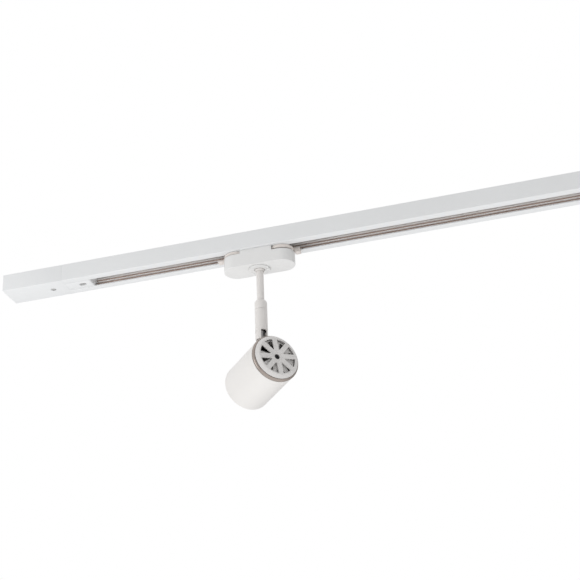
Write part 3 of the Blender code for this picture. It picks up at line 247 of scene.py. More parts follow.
def object_coordinates(tree, stretch, turned):
    """Object coordinates, or (radius, 0, height) of a turned piece, so that a pattern runs round its axis."""
    place = node(tree, "ShaderNodeTexCoord").outputs["Object"]
    if turned:
        parts = node(tree, "ShaderNodeSeparateXYZ", {"Vector": place}).outputs
        flat = node(tree, "ShaderNodeCombineXYZ", {"X": parts["X"], "Y": parts["Y"]}).outputs["Vector"]
        radius = node(tree, "ShaderNodeVectorMath", {0: flat}, operation="LENGTH").outputs["Value"]
        place = node(tree, "ShaderNodeCombineXYZ", {"X": radius, "Z": parts["Z"]}).outputs["Vector"]
    return node(tree, "ShaderNodeMapping", {"Vector": place, "Scale": stretch}).outputs["Vector"]


def noise(tree, place, scale, detail=2.0):
    inputs = {"Vector": place, "Scale": scale, "Detail": detail}
    return node(tree, "ShaderNodeTexNoise", inputs).outputs["Fac"]


def spread(tree, value, low, high, found=NOISE_RANGE):
    """Maps a noise value from the range that it is found in to another."""
    ends = {"Value": value, "From Min": found[0], "From Max": found[1], "To Min": low, "To Max": high}
    return node(tree, "ShaderNodeMapRange", ends).outputs["Result"]


def ramp(tree, value, stops):
    """A colour ramp from (position, colour) stops."""
    made = node(tree, "ShaderNodeValToRGB", {"Fac": value})
    bar = made.color_ramp.elements
    while len(bar) < len(stops):
        bar.new(0.5)
    for element, (position, colour) in zip(bar, stops):
        element.position = position
        element.color = (*colour, 1.0)
    return made.outputs["Color"]


def scaled(colour, factor):
    return tuple(min(1.0, channel * factor) for channel in colour)


def surface(name, colour, roughness, tint=0.03, cloud=45, grain=1400, bump=20e-6, stretch=(1, 1, 1),
            turned=False, rough_spread=0.08, metallic=0.0, sockets=None):
    """A material whose colour drifts slowly, and whose gloss and relief follow a fine grain."""
    made = bpy.data.materials.new(name)
    made.use_nodes = True
    made.diffuse_color = (*colour, 1.0)
    tree = made.node_tree
    place = object_coordinates(tree, stretch, turned)
    drift = noise(tree, place, cloud, 3.0)
    fine = noise(tree, place, grain, 2.0)
    low, high = NOISE_RANGE
    stops = [(low, scaled(colour, 1 - tint)), (0.5, colour), (high, scaled(colour, 1 + tint))]
    relief = node(tree, "ShaderNodeBump", {"Height": fine, "Distance": bump, "Strength": 1.0})
    supply(tree, tree.nodes["Principled BSDF"], {
        "Base Color": ramp(tree, drift, stops),
        "Roughness": spread(tree, fine, roughness - rough_spread, roughness + rough_spread),
        "Normal": relief.outputs["Normal"],
        "Metallic": metallic,
        **(sockets or {}),
    })
    return made


def worn_black():
    """Blackened steel whose finish has rubbed thin in places, so that the metal shows through."""
    made = surface("black_oxide", (0.030, 0.030, 0.032), 0.38, 0.10, 300, 2600, 20e-6,
                   metallic=0.7)
    bare_steel = (0.11, 0.105, 0.10, 1)
    patch_scale = 900
    patch_detail = 4.0
    rubbed_range = (0.58, 0.66)      # only the peaks of the noise are rubbed
    tree = made.node_tree
    base_colour = tree.nodes["Principled BSDF"].inputs["Base Color"]
    patches = noise(tree, object_coordinates(tree, (1, 1, 1), False), patch_scale, patch_detail)
    colours = {
        "Factor": spread(tree, patches, 0.0, 1.0, rubbed_range),
        6: base_colour.links[0].from_socket,
        7: bare_steel,
    }
    mixed = node(tree, "ShaderNodeMix", colours, data_type="RGBA")    # 6, 7 and 2 are its colour sockets
    tree.links.new(mixed.outputs[2], base_colour)
    return made


def make_materials():
    """Every finish. After the colour come roughness, tint, cloud scale, grain scale and relief height."""
    lengthwise = (0.02, 1, 1)
    sheath = (0.42, 0.08, 120, 1500)
    return {
        "powder": surface("track_powder_coat", (0.845, 0.855, 0.862), 0.42, 0.012, 14, 1500, 22e-6),
        "feed": surface("end_feed_plastic", (0.850, 0.860, 0.868), 0.40, 0.010, 20, 2200, 12e-6),
        "button": surface("button_plastic", (0.360, 0.358, 0.352), 0.46, 0.04, 120, 2400, 14e-6),
        "housing": surface("adapter_plastic", (0.850, 0.848, 0.842), 0.44, 0.012, 40, 2400, 14e-6),
        # The levers' beige is a darker, warmer copy of the housing's white: painted shade under the track.
        "lever": surface("lever_plastic_painted_shade", (0.840, 0.780, 0.740), 0.48, 0.03, 120, 2400, 14e-6),
        "stem": surface("stem_lacquer", (0.850, 0.822, 0.800), 0.36, 0.015, 50, 1700, 18e-6),
        "head": surface("head_lacquer", (0.862, 0.842, 0.822), 0.36, 0.014, 24, 1600, 22e-6),
        # The vent cap's white is a darker copy of the head lacquer: painted shade on its face, which is
        # turned away from the light.
        "vent": surface("vent_lacquer", (0.800, 0.782, 0.768), 0.45, 0.02, 60, 1800),
        "baffle": surface("baffle_lacquer", (0.860, 0.845, 0.830), 0.50, 0.03, 60, 1800),
        "insulation": surface("channel_insulation", (0.950, 0.915, 0.895), 0.50, 0.03, 60, 700, 30e-6,
                              stretch=lengthwise),
        "copper": surface("conductor_copper", (0.54, 0.39, 0.33), 0.34, 0.05, 90, 1800, 12e-6,
                          stretch=lengthwise, metallic=0.85),
        "zinc": surface("zinc_plate", (0.60, 0.60, 0.59), 0.33, 0.06, 220, 2200, 15e-6,
                        metallic=1.0),
        "turned_nickel": surface("turned_nickel", (0.38, 0.33, 0.30), 0.32, 0.05, 700, 9000, 12e-6,
                                 turned=True, metallic=1.0, sockets={"Anisotropic": 0.6}),
        "turned_steel": surface("turned_steel", (0.58, 0.575, 0.57), 0.28, 0.04, 700, 9000, 12e-6,
                                turned=True, metallic=1.0, sockets={"Anisotropic": 0.5}),
        "lug": surface("sheet_steel", (0.40, 0.39, 0.39), 0.42, 0.10, 260, 2600,
                       metallic=0.9),
        "nylon": surface("black_nylon", (0.022, 0.022, 0.023), 0.50, 0.12, 200, 1800),
        "ceramic": surface("fired_ceramic", (0.84, 0.82, 0.77), 0.55, 0.03, 160, 1200, 40e-6),
        "reflector": surface("silvered_reflector", (0.86, 0.86, 0.87), 0.12, 0.02, 60, 500, 20e-6,
                             rough_spread=0.05, metallic=1.0),
        # A near-black glaze: painted shade, so that the inside of the head seen through the vents reads dark.
        "lamp_painted_shade_glaze": surface("lamp_glaze_painted_shade", (0.060, 0.060, 0.062), 0.34, 0.08, 80, 900, 30e-6),
        "glass": surface("pressed_glass", (0.97, 0.98, 0.98), 0.04, 0.01, 60, 260, 40e-6,
                         rough_spread=0.02, sockets={"Transmission Weight": 1.0, "IOR": 1.47}),
        "black_oxide": worn_black(),
        "lead_line": surface("lead_brown", (0.120, 0.052, 0.030), *sheath),
        "lead_neutral": surface("lead_blue", (0.030, 0.100, 0.280), *sheath),
        "lead_earth": surface("lead_green", (0.060, 0.230, 0.060), *sheath),
    }


# ---------------- modelling tools

def arc(radius, start, end, steps, centre=(0, 0)):
    """Points on a circle from one angle to another, both ends included."""
    angles = [start + (end - start) * step / steps for step in range(steps + 1)]
    return [(centre[0] + radius * cos(angle), centre[1] + radius * sin(angle)) for angle in angles]


def rounded(corners, radii, steps=5):
    """A closed outline of corner points whose corners are rounded, each with its own radius."""
    outline = []
    count = len(corners)
    for index, (corner, radius) in enumerate(zip(corners, radii)):
        here = Vector(corner)
        before = (Vector(corners[index - 1]) - here).normalized()
        after = (Vector(corners[(index + 1) % count]) - here).normalized()
        if radius == 0:
            outline.append(tuple(here))
            continue
        half = before.angle(after) / 2
        back = radius * cos(half) / sin(half)
        centre = here + (before + after).normalized() * (radius / sin(half))
        start = here + before * back - centre
        finish = here + after * back - centre
        sweep = start.angle_signed(finish)
        for step in range(steps + 1):
            turned_by = Matrix.Rotation(-sweep * step / steps, 2)
            outline.append(tuple(centre + turned_by @ start))
    return outline


def stadium(length, width, steps=24, centre=(0, 0)):
    """An oblong with round ends, its long side along the first axis."""
    radius = width / 2
    reach = length / 2 - radius
    right = arc(radius, -pi / 2, pi / 2, steps, (centre[0] + reach, centre[1]))
    left = arc(radius, pi / 2, 3 * pi / 2, steps, (centre[0] - reach, centre[1]))
    return right + left


def loft(rings):
    """A closed solid through rings of points, each ring with the same count."""
    bm = bmesh.new()
    rows = [[bm.verts.new(point) for point in ring] for ring in rings]
    for low, high in zip(rows, rows[1:]):
        for index in range(len(low)):
            after = (index + 1) % len(low)
            bm.faces.new((low[index], low[after], high[after], high[index]))
    bm.faces.new(reversed(rows[0]))
    bm.faces.new(rows[-1])
    bmesh.ops.recalc_face_normals(bm, faces=bm.faces)
    return bm


def offset(outline, inset):
    """Moves a closed counter-clockwise outline inwards."""
    moved = []
    count = len(outline)
    for index, point in enumerate(outline):
        along = (Vector(outline[(index + 1) % count]) - Vector(outline[index - 1])).normalized()
        moved.append((point[0] - along.y * inset, point[1] + along.x * inset))
    return moved


AXES = {
    "Z": lambda a, b, c: (a, b, c),
    "X": lambda a, b, c: (c, a, b),
    "Y": lambda a, b, c: (a, c, b),
}


def rim(edge, steps):
    """(inset, rise) pairs of a rounded rim, from the flat face to the side. A sharp rim has one pair."""
    if edge == 0:
        return [(0, 0)]
    turns = [pi / 2 * step / steps for step in range(steps + 1)]
    return [(edge * (1 - sin(turn)), edge * (1 - cos(turn))) for turn in turns]


def plate(outline, low, high, edge=0.0, axis="Z", steps=3):
    """Extrudes an outline between two stations. Its rims are rounded by edge."""
    place = AXES[axis]
    turn_in = rim(edge, steps)
    stations = [(low + rise, inset) for inset, rise in turn_in]
    stations += [(high - rise, inset) for inset, rise in reversed(turn_in)]
    return loft([[place(a, b, station) for a, b in offset(outline, inset)] for station, inset in stations])


def rectangle(x, y):
    """The corners of a rectangle from (low, high) pairs."""
    return [(x[0], y[0]), (x[1], y[0]), (x[1], y[1]), (x[0], y[1])]


def block(x, y, z):
    """A box from (low, high) pairs."""
    return plate(rectangle(x, y), *z)


def lathe(profile, segments=TURN, centre=(0, 0, 0), axis="Z"):
    """Revolves a closed outline of (radius, height) points. Points on the axis become poles."""
    bm = bmesh.new()
    columns = []
    for radius, height in profile:
        if radius == 0:
            columns.append([bm.verts.new((0, 0, height))])
            continue
        turns = [2 * pi * step / segments for step in range(segments)]
        columns.append([bm.verts.new((radius * cos(turn), radius * sin(turn), height)) for turn in turns])
    for low, high in zip(columns, columns[1:] + columns[:1]):
        if len(low) == 1 and len(high) == 1:
            continue
        for index in range(segments):
            after = (index + 1) % segments
            corners = [low[index % len(low)], low[after % len(low)], high[after % len(high)],
                       high[index % len(high)]]
            bm.faces.new(list(dict.fromkeys(corners)))
    turn = {"Z": Matrix(), "Y": Matrix.Rotation(-pi / 2, 4, "X")}[axis]
    bmesh.ops.transform(bm, matrix=Matrix.Translation(centre) @ turn, verts=bm.verts)
    bmesh.ops.recalc_face_normals(bm, faces=bm.faces)
    return bm


def soften(profile, radius, steps=3):
    """Rounds the corners of a lathe profile that are off the axis."""
    radii = [0 if point[0] == 0 else radius for point in profile]
    return rounded(profile, radii, steps)


def rod(radius, low, high, segments=FEW, centre=(0, 0, 0), axis="Z"):
    return lathe(rectangle((0, radius), (low, high)), segments, centre, axis)


def merged(*parts):
    """One bmesh that holds several closed bodies."""
    total = bmesh.new()
    for part in parts:
        mesh = bpy.data.meshes.new("merge")
        part.to_mesh(mesh)
        part.free()
        total.from_mesh(mesh)
        bpy.data.meshes.remove(mesh)
    return total


def add_object(name, data):
    made = bpy.data.objects.new(name, data)
    bpy.context.scene.collection.objects.link(made)
    return made


def boolean(bm, tool, operation="DIFFERENCE"):
    """The result of an exact Boolean between two bmeshes, as a new bmesh."""
    things = []
    for source in (bm, tool):
        mesh = bpy.data.meshes.new("shape")
        source.to_mesh(mesh)
        source.free()
        things.append(add_object("shape", mesh))
    modifier = things[0].modifiers.new("boolean", "BOOLEAN")
    modifier.operation = operation
    modifier.solver = "EXACT"
    modifier.object = things[1]
    bpy.context.view_layer.update()
    made = bmesh.new()
    made.from_object(things[0], bpy.context.evaluated_depsgraph_get())
    for thing in things:
        mesh = thing.data
        bpy.data.objects.remove(thing)
        bpy.data.meshes.remove(mesh)
    return made


def cut(bm, *tools):
    return boolean(bm, merged(*tools))


def join(bm, tool):
    return boolean(bm, tool, "UNION")


def cross(radius, low, high):
    """The two crossed slots of a cross-head screw, as one closed body about Z."""
    half = radius * 0.24             # half the width of a slot
    outline = []
    for quarter in range(4):
        turn = quarter * pi / 2
        for a, b in ((half, -half), (radius, -half), (radius, half)):
            outline.append((a * cos(turn) - b * sin(turn), a * sin(turn) + b * cos(turn)))
    return plate(outline, low, high)


def pan_head(radius, height, shank, end):
    """A domed screw whose seat is at 0 and whose head rises along +Z. Its plain shank runs down to end."""
    rim = height * 0.35
    recess = radius * 0.62
    tip = shank * 0.8
    taper = shank * 0.3
    turns = [pi * step / 12 for step in range(6)]
    dome = [(radius * cos(turn), rim + (height - rim) * sin(turn)) for turn in turns]
    profile = [(0, end), (tip, end), (shank, end + taper), (shank, 0), (radius, 0)] + dome + [(0, height)]
    return cut(lathe(profile, FEW), cross(recess, rim, height + OVERCUT))


def piece(name, bm, look, body, nodes=(), place=ROW, crease=35):
    """Links a finished bmesh as a piece of the visual model. Edges over crease, in degrees, stay hard."""
    bmesh.ops.remove_doubles(bm, verts=bm.verts, dist=WELD_DISTANCE)
    bmesh.ops.recalc_face_normals(bm, faces=bm.faces)
    mesh = bpy.data.meshes.new(name)
    bm.to_mesh(mesh)
    bm.free()
    mesh.shade_smooth()
    mesh.set_sharp_from_angle(angle=radians(crease))
    mesh.materials.append(look)
    made = add_object(name, mesh)
    made.matrix_world = place
    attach(made, body)
    if nodes:
        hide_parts(*nodes)
    return made


def feed_x(station):
    """Row X of a station measured from the end feed's outer end."""
    return station - FEED_LENGTH - GAP - TRACK_LENGTH / 2


# ---------------- track

def make_track(look):
    """The extruded track, with a marking groove along its ceiling face and two countersunk oblong holes."""
    half = TRACK_WIDTH / 2
    inner = half - TRACK_WALL
    slot = SLOT_WIDTH / 2
    mark_half = 0.0006
    mark_depth = 0.0004
    corners = [
        (half, -TRACK_HEIGHT), (half, 0), (mark_half, 0), (0, -mark_depth), (-mark_half, 0), (-half, 0),
        (-half, -TRACK_HEIGHT), (-slot, -TRACK_HEIGHT), (-slot, CHANNEL_LOW), (-inner, CHANNEL_LOW),
        (-inner, CHANNEL_HIGH), (inner, CHANNEL_HIGH), (inner, CHANNEL_LOW), (slot, CHANNEL_LOW),
        (slot, -TRACK_HEIGHT),
    ]
    lip = 0.00035
    edge = 0.0002
    root = 0.0003
    radii = [CORNER_RADIUS, edge, 0, 0, 0, edge, CORNER_RADIUS, lip, lip, edge, root, root, edge, lip, lip]
    section = rounded(corners, radii, 5)
    body = plate(section, -TRACK_LENGTH / 2, TRACK_LENGTH / 2, 0, "X")
    length, width = CEILING_SLOT_SIZE
    sink = 0.0012
    sink_start = CHANNEL_HIGH - 0.00001
    holes = []
    for side in (-1, 1):
        rings = []
        for grow, height in ((0, OVERCUT), (0, CHANNEL_HIGH + sink), (2 * sink, sink_start),
                             (2 * sink, CHANNEL_HIGH - OVERCUT)):
            outline = stadium(length + grow, width + grow, 12, (side * CEILING_SLOT_X, 0))
            rings.append([(x, y, height) for x, y in outline])
        holes.append(loft(rings))
    piece("track_extrusion", cut(body, *holes), look, "track", ["track_profile"])


def make_rails(look):
    """The three conductors: drawn copper bars with a round face towards the channel."""
    edge = 0.0001
    for name in ("conductor_line", "conductor_neutral", "earth_strip"):
        low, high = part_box(name)
        face, back = sorted((low[1], high[1]), key=abs)
        nose = (high[2] - low[2]) * 0.48
        outline = rounded(rectangle((face, back), (low[2], high[2])), [nose, edge, edge, nose], 8)
        piece(f"{name}_bar", plate(outline, low[0], high[0], 0, "X"), look, "track", [name])


def make_end_cap(look):
    """The moulded cap, with a rounded outer face, a spigot in the channel and a pull slot in that face."""
    half = TRACK_WIDTH / 2
    seam = TRACK_LENGTH / 2 + GAP
    face = seam + END_CAP_THICKNESS
    edge = 0.0004
    outline = rounded(rectangle((-half, half), (-TRACK_HEIGHT, 0)), [CORNER_RADIUS] * 4, 5)
    cap = plate(outline, seam, face, edge, "X")
    spigot_half = 0.0122
    spigot_edge = 0.0006
    spigot = rectangle((-spigot_half, spigot_half), (CHANNEL_LOW + 2 * GAP, CHANNEL_HIGH - 2 * GAP))
    cap = join(cap, plate(spigot, seam - END_CAP_SPIGOT, seam + END_CAP_THICKNESS / 2, spigot_edge, "X"))
    pull_length = 0.008
    pull_width = 0.0012
    pull_rise = 0.0030
    pull_depth = 0.0006
    pull = stadium(pull_length, pull_width, 8, (0, -TRACK_HEIGHT + pull_rise))
    cap = cut(cap, plate(pull, face - pull_depth, face + OVERCUT, 0, "X"))
    piece("track_end_cap", cap, look, "track", ["end_cap"])


def make_feed_housing(look):
    """The end feed's cover: hollow, open towards the ceiling and the track, with a countersunk screw well."""
    half = TRACK_WIDTH / 2
    ceiling_corner = 0.0003
    rim = 0.00012
    radii = [CORNER_RADIUS, CORNER_RADIUS, ceiling_corner, ceiling_corner]
    outline = rounded(rectangle((-half, half), (-TRACK_HEIGHT, 0)), radii, 5)
    cover = plate(outline, feed_x(0), feed_x(FEED_LENGTH) + GAP / 2, rim, "X")
    wide = half - FEED_WALL
    floor = -TRACK_HEIGHT + FEED_WALL
    inside = (feed_x(FEED_WALL), feed_x(FEED_LENGTH - FEED_WALL))
    cover = cut(cover, block(inside, (-wide, wide), (floor, OVERCUT)))
    mouth = (feed_x(FEED_LENGTH - 2 * FEED_WALL), feed_x(FEED_LENGTH + FEED_WALL))
    mouth_top = CHANNEL_HIGH - 0.0001
    cover = cut(cover, block(mouth, (-FEED_MOUTH_HALF, FEED_MOUTH_HALF), (floor, mouth_top)))
    bore = COVER_SCREW_HEAD + 0.0004
    hole = 0.0016
    lead_in = 0.0003
    well = [
        (0, 2 * FEED_WALL), (hole, 2 * FEED_WALL), (hole, COUNTERBORE_DEPTH), (bore, COUNTERBORE_DEPTH),
        (bore, lead_in), (bore + 2 * lead_in, -lead_in), (0, -lead_in),
    ]
    cover = cut(cover, lathe(well, FEW, (feed_x(COVER_SCREW_AT), 0, -TRACK_HEIGHT)))
    piece("end_feed_housing", cover, look, "track", ["end_feed_cover"])


def make_feed_screw(look):
    seat = -TRACK_HEIGHT + COUNTERBORE_DEPTH - GAP
    place = Matrix.Translation((feed_x(COVER_SCREW_AT), 0, seat)) @ Matrix.Rotation(pi, 4, "X")
    screw = pan_head(COVER_SCREW_HEAD, height=0.0010, shank=0.0012, end=-0.0089)
    piece("end_feed_cover_screw", screw, look, "track", ["end_feed_screw"], place)


def make_feed_tongue(look):
    """The tongue in the first stretch of the slot, with a chamfered end, contact pockets and a well."""
    floor = -TRACK_HEIGHT
    shoulder = CHANNEL_LOW + GAP
    top = CHANNEL_HIGH - 2 * GAP
    wide = TONGUE_HALF_WIDTH
    slot = SLOT_WIDTH / 2 - GAP
    section = [
        (-slot, floor), (slot, floor), (slot, shoulder), (wide, shoulder),
        (wide, top), (-wide, top), (-wide, shoulder), (-slot, shoulder),
    ]
    start = feed_x(CONNECTOR_FROM)
    end = feed_x(FEED_TONGUE_END)
    edge = 0.0002
    body = plate(rounded(section, [edge] * 8, 2), start, end, 0, "X")
    across = (-wide - OVERCUT, wide + OVERCUT)
    below = floor - OVERCUT
    past = end + OVERCUT
    heel = block((start - OVERCUT, feed_x(FEED_LENGTH + GAP)), across, (below, floor + FEED_WALL + GAP))
    chamfer = 0.0009
    slope = [(end - chamfer - OVERCUT, below), (past, below), (past, floor + chamfer + OVERCUT)]
    wedge = plate(slope, *across, 0, "Y")
    lip = 0.0003
    well = []
    for grow, height in ((lip, -lip), (0, lip), (0, BUTTON_WELL)):
        length, width = [size + 2 * (GAP + grow) for size in BUTTON_SIZE]
        outline = stadium(length, width, 16, (feed_x(BUTTON_AT), 0))
        well.append([(x, y, floor + height) for x, y in outline])
    pocket_depth = 0.0016
    pocket_half = 0.001
    along = (feed_x(CONTACT_AT) - GAP, feed_x(CONTACT_AT + CONTACT_LENGTH) + GAP)
    pockets = []
    for side, height in CONTACT_HEIGHTS.values():
        y = sorted((side * (wide - pocket_depth), side * (wide + OVERCUT)))
        pockets.append(block(along, y, (floor + height - pocket_half, floor + height + pocket_half)))
    body = cut(cut(body, heel), wedge)
    body = cut(body, loft(well), *pockets)
    piece("end_feed_tongue", body, look, "track", ["feed_connector"])


def make_feed_button(look):
    """The oval release button, crowned, with three grip grooves across it."""
    height = BUTTON_HEIGHT - BUTTON_RECESS
    crown = ((0, height), (0, 0.0007), (0.0002, 0.0004), (0.0007, 0.00015), (0.0015, 0.00005))
    rings = []
    for inset, level in crown:
        length, width = [size - 2 * inset for size in BUTTON_SIZE]
        rings.append([(x, y, BUTTON_RECESS + level) for x, y in stadium(length, width, 16)])
    half = 0.0002
    reach = 0.0012
    pitch = 0.0013
    depth = (BUTTON_RECESS - OVERCUT, BUTTON_RECESS + 0.0004)
    grooves = [block((at - half, at + half), (-reach, reach), depth) for at in (-pitch, 0, pitch)]
    place = Matrix.Translation((feed_x(BUTTON_AT), 0, -TRACK_HEIGHT))
    button = cut(loft(rings), *grooves)
    piece("release_button", button, look, "feed_button", ["feed_button"], place)


# ---------------- adapter

def make_adapter_housing(look):
    """The stadium-shaped shell: ledges for the levers, posts for their pivots and a recess for the ring."""
    bottom = -ADAPTER_HEIGHT
    edge = 0.0006
    rings = []
    for inset, rise in rim(edge, 4) + [(0, ADAPTER_HEIGHT - GAP)]:
        outline = stadium(ADAPTER_LENGTH - 2 * inset, ADAPTER_WIDTH - 2 * inset, 32)
        rings.append([(x, y, bottom + rise) for x, y in outline])
    body = loft(rings)
    reach = ADAPTER_LENGTH / 2 + OVERCUT
    wide = ADAPTER_WIDTH / 2 + OVERCUT
    body = cut(body,
               block((LAND_LENGTH / 2, reach), (-wide, wide), (-LEDGE_DEPTHS["right"], OVERCUT)),
               block((-reach, -LAND_LENGTH / 2), (-wide, wide), (-LEDGE_DEPTHS["left"], OVERCUT)))
    floor = bottom + ADAPTER_FLOOR
    cavity = stadium(ADAPTER_LENGTH - 2 * ADAPTER_WALL, ADAPTER_WIDTH - 2 * ADAPTER_WALL, 32)
    body = cut(body, plate(cavity, floor, 2 * OVERCUT))
    root = floor - ADAPTER_FLOOR / 4
    bore = LEVER_PIVOT_RADIUS + GAP
    for name, side in SIDES.items():
        post = rectangle((bore, bore + POST_WALL), (root, -LEVER_DEPTHS[name] - 2 * GAP))
        body = join(body, lathe(post, FEW, (side * LEVER_OFFSET, 0, 0)))
    inner = RING_BORE - GAP
    outer = RING_RADIUS + GAP
    below = bottom - OVERCUT
    recess_end = bottom + RING_RECESS
    lead_in = 0.0002
    recess = [
        (inner, below), (outer + lead_in, below), (outer + lead_in, bottom), (outer, bottom + lead_in),
        (outer, recess_end), (inner, recess_end),
    ]
    slot = arc(DRIVE_PIN_AT + DRIVE_SLOT_HALF, *DRIVE_SLOT_ENDS, 16)
    slot += arc(DRIVE_PIN_AT - DRIVE_SLOT_HALF, *reversed(DRIVE_SLOT_ENDS), 16)
    body = cut(body, lathe(recess, TURN))
    body = cut(body, plate(slot, below, floor + OVERCUT), rod(STEM_RADIUS + GAP, below, floor + OVERCUT))
    piece("adapter_housing", body, look, "adapter", ["adapter_cover"], ADAPTER)


def make_lever(name, look):
    """A locking lever: a rimmed disc under the track, an ear to turn it by, and a dog above the lips."""
    side = SIDES[name]
    radius = LEVER_RADII[name]
    depth = LEVER_DEPTHS[name]
    neck = LEVER_NECK_RADIUS
    pivot = LEVER_PIVOT_RADIUS
    chamfer = 0.0004
    edge = 0.0003
    fine = 0.0002
    dog_low = LIP_THICKNESS + GAP
    neck_top = dog_low + 0.001       # inside the dog
    profile = [
        (0, -LEVER_PIVOT_DEPTH), (pivot - chamfer, -LEVER_PIVOT_DEPTH), (pivot, -LEVER_PIVOT_DEPTH + chamfer),
        (pivot, -depth), (radius - chamfer, -depth), (radius - chamfer * 0.3, -depth + chamfer * 0.3),
        (radius, -depth + chamfer), (radius, -GAP - fine), (radius - fine, -GAP), (neck, -GAP),
        (neck, neck_top), (0, neck_top),
    ]
    body = lathe(profile, ROUND)
    reach = EAR_REACHES[name]
    low, high = EAR_SPANS[name]
    top = -GAP - 0.0001
    past = ADAPTER_WIDTH / 2 + 2 * GAP
    corner = 0.0007
    outline = [(past, low)] + arc(corner, -pi / 2, 0, 8, (reach - corner, low + corner))
    outline += arc(corner, 0, pi / 2, 8, (reach - corner, high - corner)) + [(past, high)]
    outline = [(side * x, y) for x, y in outline]
    if side < 0:
        outline.reverse()
    slack = 0.0001
    arm = block(sorted((side * neck, side * (past + corner))), (low + slack, high - slack),
                (-depth + 2 * slack, top - slack))
    body = join(body, arm)
    body = join(body, plate(outline, -EAR_DEPTHS[name], top, edge))
    half = DOG_SIZE[0] / 2
    tip = DOG_SIZE[1] / 2
    swing = asin(half / tip)
    dog = arc(tip, pi / 2 - swing, pi / 2 + swing, 8)
    dog += arc(tip, -pi / 2 - swing, -pi / 2 + swing, 8)
    body = join(body, plate(dog, dog_low, DOG_TOP, edge))
    place = ADAPTER @ Matrix.Translation((side * LEVER_OFFSET, 0, 0))
    nodes = [f"lock_lever_{name}"]
    piece(f"locking_lever_{name}", body, look, f"lever_{name}", nodes, place)


def make_selector(look):
    """The selector ring: a rounded rim, a raised pointer and a drive pin through the housing's slot."""
    low = -ADAPTER_HEIGHT - RING_PROUD
    high = -ADAPTER_HEIGHT + RING_RECESS - GAP
    edge = 0.0004
    body = lathe(soften(rectangle((RING_BORE, RING_RADIUS), (low, high)), edge), TURN)
    groove_range = (0.0093, 0.0097)
    groove_depth = 0.0003
    body = cut(body, lathe(rectangle(groove_range, (low - OVERCUT, low + groove_depth)), TURN))
    pointer = [(0.0080, -0.0018), (0.0108, -0.0024), (0.0122, 0), (0.0108, 0.0024), (0.0080, 0.0018)]
    pointer = rounded(pointer, [edge] * 5, 3)
    pointer_edge = 0.0003
    body = join(body, plate(pointer, low - POINTER_DEPTH, low + RING_PROUD / 2, pointer_edge))
    pin = rod(DRIVE_PIN_RADIUS, high - RING_PROUD / 2, DRIVE_PIN_TOP, 16, (-DRIVE_PIN_AT, 0, 0))
    piece("selector_dial", join(body, pin), look, "selector", ["selector_ring"], ADAPTER)


# ---------------- stem and swivel

def make_stem(look):
    """The stem with its narrow end, the collar under the adapter and the chamfered cap above the sleeve."""
    profile = [
        (STEM_BORE, -STEM_BOTTOM), (STEM_NECK_RADIUS, -STEM_BOTTOM), (STEM_NECK_RADIUS, -SWIVEL_ROOF),
        (STEM_RADIUS, -SWIVEL_ROOF), (STEM_RADIUS, -STEM_TOP), (STEM_BORE, -STEM_TOP),
    ]
    stem = lathe(soften(profile, 0.00015, 2), TURN)
    bore = STEM_RADIUS + GAP
    edge = 0.0002
    fine = 0.0001
    chamfer = 0.0008
    high = -ADAPTER_HEIGHT - GAP
    profile = [
        (bore, -COLLAR_BOTTOM), (COLLAR_RADIUS - chamfer, -COLLAR_BOTTOM),
        (COLLAR_RADIUS, -COLLAR_BOTTOM + chamfer), (COLLAR_RADIUS, high), (bore, high),
    ]
    collar = lathe(soften(profile, edge), TURN)
    low = -SWIVEL_SEAM + GAP / 2
    profile = [
        (bore, low), (SLEEVE_RADIUS, low), (SLEEVE_RADIUS, -SLEEVE_CAP_TOP - SLEEVE_CHAMFER),
        (STEM_RADIUS + chamfer, -SLEEVE_CAP_TOP), (bore, -SLEEVE_CAP_TOP),
    ]
    cap = lathe(rounded(profile, [fine, edge, 2 * edge, edge, fine], 4), TURN)
    pieces = {
        "stem_rod": (stem, "stem_tube"),
        "stem_collar_ring": (collar, "stem_collar"),
        "swivel_cap": (cap, "sleeve_cap"),
    }
    for name, (body, node_name) in pieces.items():
        piece(name, body, look, "adapter", [node_name], ADAPTER)


def make_sleeve(look):
    """The turning sleeve, slotted on one side for the hinge's arm and cross-drilled for its pin."""
    top = HINGE_DEPTH - SWIVEL_SEAM - GAP / 2
    roof = HINGE_DEPTH - SWIVEL_ROOF
    bottom = HINGE_DEPTH - SLEEVE_BOTTOM
    hole = STEM_RADIUS + GAP
    profile = [
        (hole, top), (hole, roof), (SLEEVE_BORE, roof), (SLEEVE_BORE, bottom), (SLEEVE_RADIUS, bottom),
        (SLEEVE_RADIUS, top),
    ]
    radii = [0.0001, 0.0001, 0.0003, 0.0002, 0.0006, 0.0002]
    body = lathe(rounded(profile, radii, 3), TURN)
    half = SLEEVE_SLOT_WIDTH / 2
    slot_top = HINGE_DEPTH - SLEEVE_SLOT_TOP + GAP
    slot_corner = 0.0009
    past = SLEEVE_RADIUS + OVERCUT
    outline = rectangle((-half, half), (bottom - OVERCUT, slot_top))
    slot = rounded(outline, [0, 0, slot_corner, slot_corner], 6)
    body = cut(body, plate(slot, -past, 0, 0, "X"), rod(PIN_RADIUS + GAP, -past, past, axis="Y"))
    piece("swivel_sleeve", body, look, "swivel", ["sleeve"], SWIVEL)


def make_hinge_pin(look):
    half = SLEEVE_RADIUS - GAP
    edge = 0.0004
    pin = lathe(soften(rectangle((0, PIN_RADIUS), (-half, half)), edge), FEW, axis="Y")
    piece("hinge_rivet", pin, look, "swivel", ["hinge_pin"], SWIVEL)


# ---------------- head

